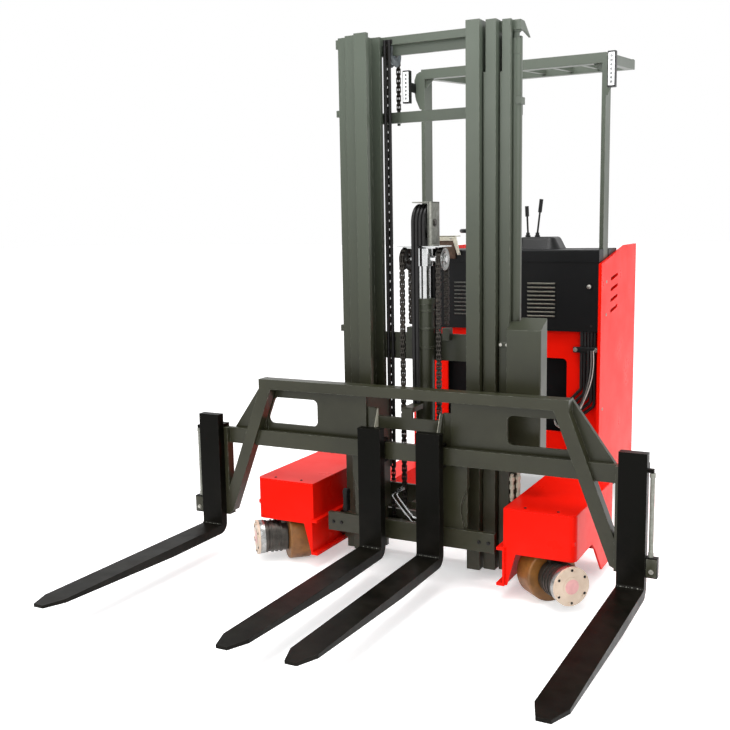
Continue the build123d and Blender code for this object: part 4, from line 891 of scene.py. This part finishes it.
def make_rear_door():
    """Service door of the drive compartment with louvres, hinges and a latch, and the screws of the rear."""
    def door(work):
        cuboid(work, (-474, -38), (2031.7, 2034.6), (300, 972), 1.2)
        outline = [Vector((0, y / 1000, z / 1000)) for y, z in ((0, 0), (4.2, 0), (4.2, 1.6), (0, 13))]
        for i in range(8):
            prism(work, outline, place(-356, DOOR_FACE, 452 + 26 * i), Vector((0.2, 0, 0)))
    smooth(piece("rear_door", door, MATERIALS["panel_black"], "chassis"))

    def seam(work):
        cuboid(work, (-478, -34), (2031.8, 2032.3), (296, 976), 0.15)
    piece("rear_door_seam", seam, MATERIALS["console_plastic"], "chassis")

    def hinges(work):
        for z in (390, 850):
            lathe(work, ((0, 0), (0, 3.6), (60, 3.6), (60, 0)), place(-480, 2035, z), (0, 0, 1), 16)
            cuboid(work, (-478, -446), (DOOR_FACE, DOOR_FACE + 2), (z + 4, z + 56), 0.5)
    smooth(piece("rear_door_hinges", hinges, BLACK_STEEL, "chassis"))

    def latch(work):
        disc = ((0, 0), (0, 15), (1.6, 15), (2.6, 13.5), (2.6, 0))
        lathe(work, disc, place(-66, DOOR_FACE, 640), (0, 1, 0), 36)
        cuboid(work, (-69, -63), (2036.8, 2038.8), (630, 650), 0.8)
    smooth(piece("rear_door_latch", latch, ZINC, "chassis"))

    def trim(work):
        for x, z in ((-470, 320), (-470, 952), (-46, 320), (-46, 952)):
            round_screw(work, place(x, 2034.5, z), (0, 1, 0), 5)
        for x in (30, 250, 470):
            for z in (420, 840, 1270):
                round_screw(work, place(x, 1640, z), (0, 1, 0), 5)
        for x in (-450, -250, 250, 450):
            round_screw(work, place(x, 2020, 150), (0, 1, 0), 7)
    smooth(piece("rear_screws", trim, ZINC, "chassis"))


def curve_points(knots, steps=8):
    """Points along a smooth curve through the knots."""
    ends = [knots[0] * 2 - knots[1]] + knots + [knots[-1] * 2 - knots[-2]]
    points = []
    for a, b, c, d in zip(ends, ends[1:], ends[2:], ends[3:]):
        for i in range(steps):
            t = i / steps
            first = (c - a) * 0.5 * t
            second = (a * 2 - b * 5 + c * 4 - d) * 0.5 * t * t
            third = (b * 3 - a - c * 3 + d) * 0.5 * t ** 3
            points.append(b + first + second + third)
    return points + [knots[-1]]


def cord(work, knots, radius_mm, sides=10):
    """A round cord along a curve, closed at both ends."""
    points = curve_points([place(*knot) for knot in knots])
    across = Vector((0, 1, 0))
    turn = None
    for index, point in enumerate(points):
        behind = points[max(index - 1, 0)]
        along = (points[min(index + 1, len(points) - 1)] - behind).normalized()
        across = (across - along * across.dot(along)).normalized()
        last, turn = turn, Matrix((along, across, along.cross(across))).transposed()
        if last is None:
            spokes = [turn @ Vector((0, math.cos(t), math.sin(t))) for t in full_turn(sides)]
            end = work.faces.new([work.verts.new(point + spoke * radius_mm / 1000) for spoke in spokes])
        else:
            end = drawn_out(work, end, point - behind)
            bmesh.ops.rotate(work, cent=point, matrix=turn @ last.transposed(), verts=list(end.verts))


def make_cables():
    """Loose signal cables from the hose clamp down into the recess."""
    table = (
        # name, material, radius, knots (x, y, z)
        ("signal_cable_pale", PALE_PVC, 2.6, (
            (474, 1288, 862), (476, 1286, 780), (462, 1284, 690), (430, 1284, 600), (392, 1286, 520),
            (352, 1290, 470), (306, 1300, 452), (272, 1318, 470), (262, 1345, 520),
        )),
        ("signal_cable_grey", GREY_PVC, 3.2, (
            (462, 1289, 862), (463, 1286, 770), (446, 1284, 670), (414, 1285, 580), (372, 1288, 505),
            (330, 1293, 462), (290, 1305, 462), (266, 1325, 500), (258, 1348, 560),
        )),
        ("signal_cable_black", MATERIALS["hose_rubber"], 4.0, (
            (448, 1289, 862), (449, 1286, 760), (434, 1285, 650), (398, 1286, 560), (356, 1290, 500),
            (318, 1298, 474), (286, 1312, 486), (268, 1332, 530), (262, 1350, 590),
        )),
    )
    for name, material, radius, knots in table:
        cable = piece(name, lambda work: cord(work, knots, radius), material, "chassis")
        smooth(cable, 60)


def make_lock_sleeves():
    """Galvanised sleeves on the outer forks' locking rods, with their end collars and painted foot plates."""
    sleeve = ((0, 4), (0, 10.5), (16, 10.5), (17, 8.5), (301, 8.5), (302, 10.5), (318, 10.5), (318, 4))
    paint = MATERIALS["mast_paint"]
    for side, word in ((1, "right"), (-1, "left")):
        foot = place(side * 1024, 20, 275)
        turned(f"lock_sleeve_{word}", sleeve, foot, (0, 0, 1), 28, GALVANISED, "fork_carriage")
        x = sorted((side * 1010, side * 1049))

        def plate(work):
            cuboid(work, x, (3.6, 6.0), (202, 270), 0.9)
        smooth(piece(f"lock_foot_{word}", plate, paint, "fork_carriage"))

        def bolt(work):
            hex_bolt(work, place(side * 1029, 3.8, 222), (0, -1, 0), 13, 7)
        smooth(piece(f"lock_bolt_{word}", bolt, ZINC, "fork_carriage"))


def make_heel_welds():
    """The uneven weld bead across each fork where the blade meets the shank, its pale grey partly a painted
    highlight of the bright line there.
    """
    bodies = (
        (-954.5, "fork_carriage", "outer_left"), (-133.5, "inner_fork_left", "inner_left"),
        (133.5, "inner_fork_right", "inner_right"), (954.5, "fork_carriage", "outer_right"),
    )
    for x, body, word in bodies:
        profile = [(-48, 0)]
        for i in range(25):
            profile.append((-48 + 4 * i, 4.2 + 0.9 * math.sin(i * 2.4 + x) + 0.5 * math.sin(i * 5.1)))
        profile.append((48, 0))
        name = f"heel_weld_{word}"
        turned(name, profile, place(x, -0.5, 150.5), (1, 0, 0), 14, WELD_AND_HIGHLIGHT, body, 60)


make_lift_chains()
make_mast_chains()
make_sheaves()
make_pulley_hoses()
make_bolts()
make_brackets()
make_fittings()
make_louvres()
make_pulley_guard()
make_hub_details()
make_lamp_lenses()
make_mat_and_pad()
make_operator_fittings()
make_rear_door()
make_cables()
make_lock_sleeves()
make_heel_welds()
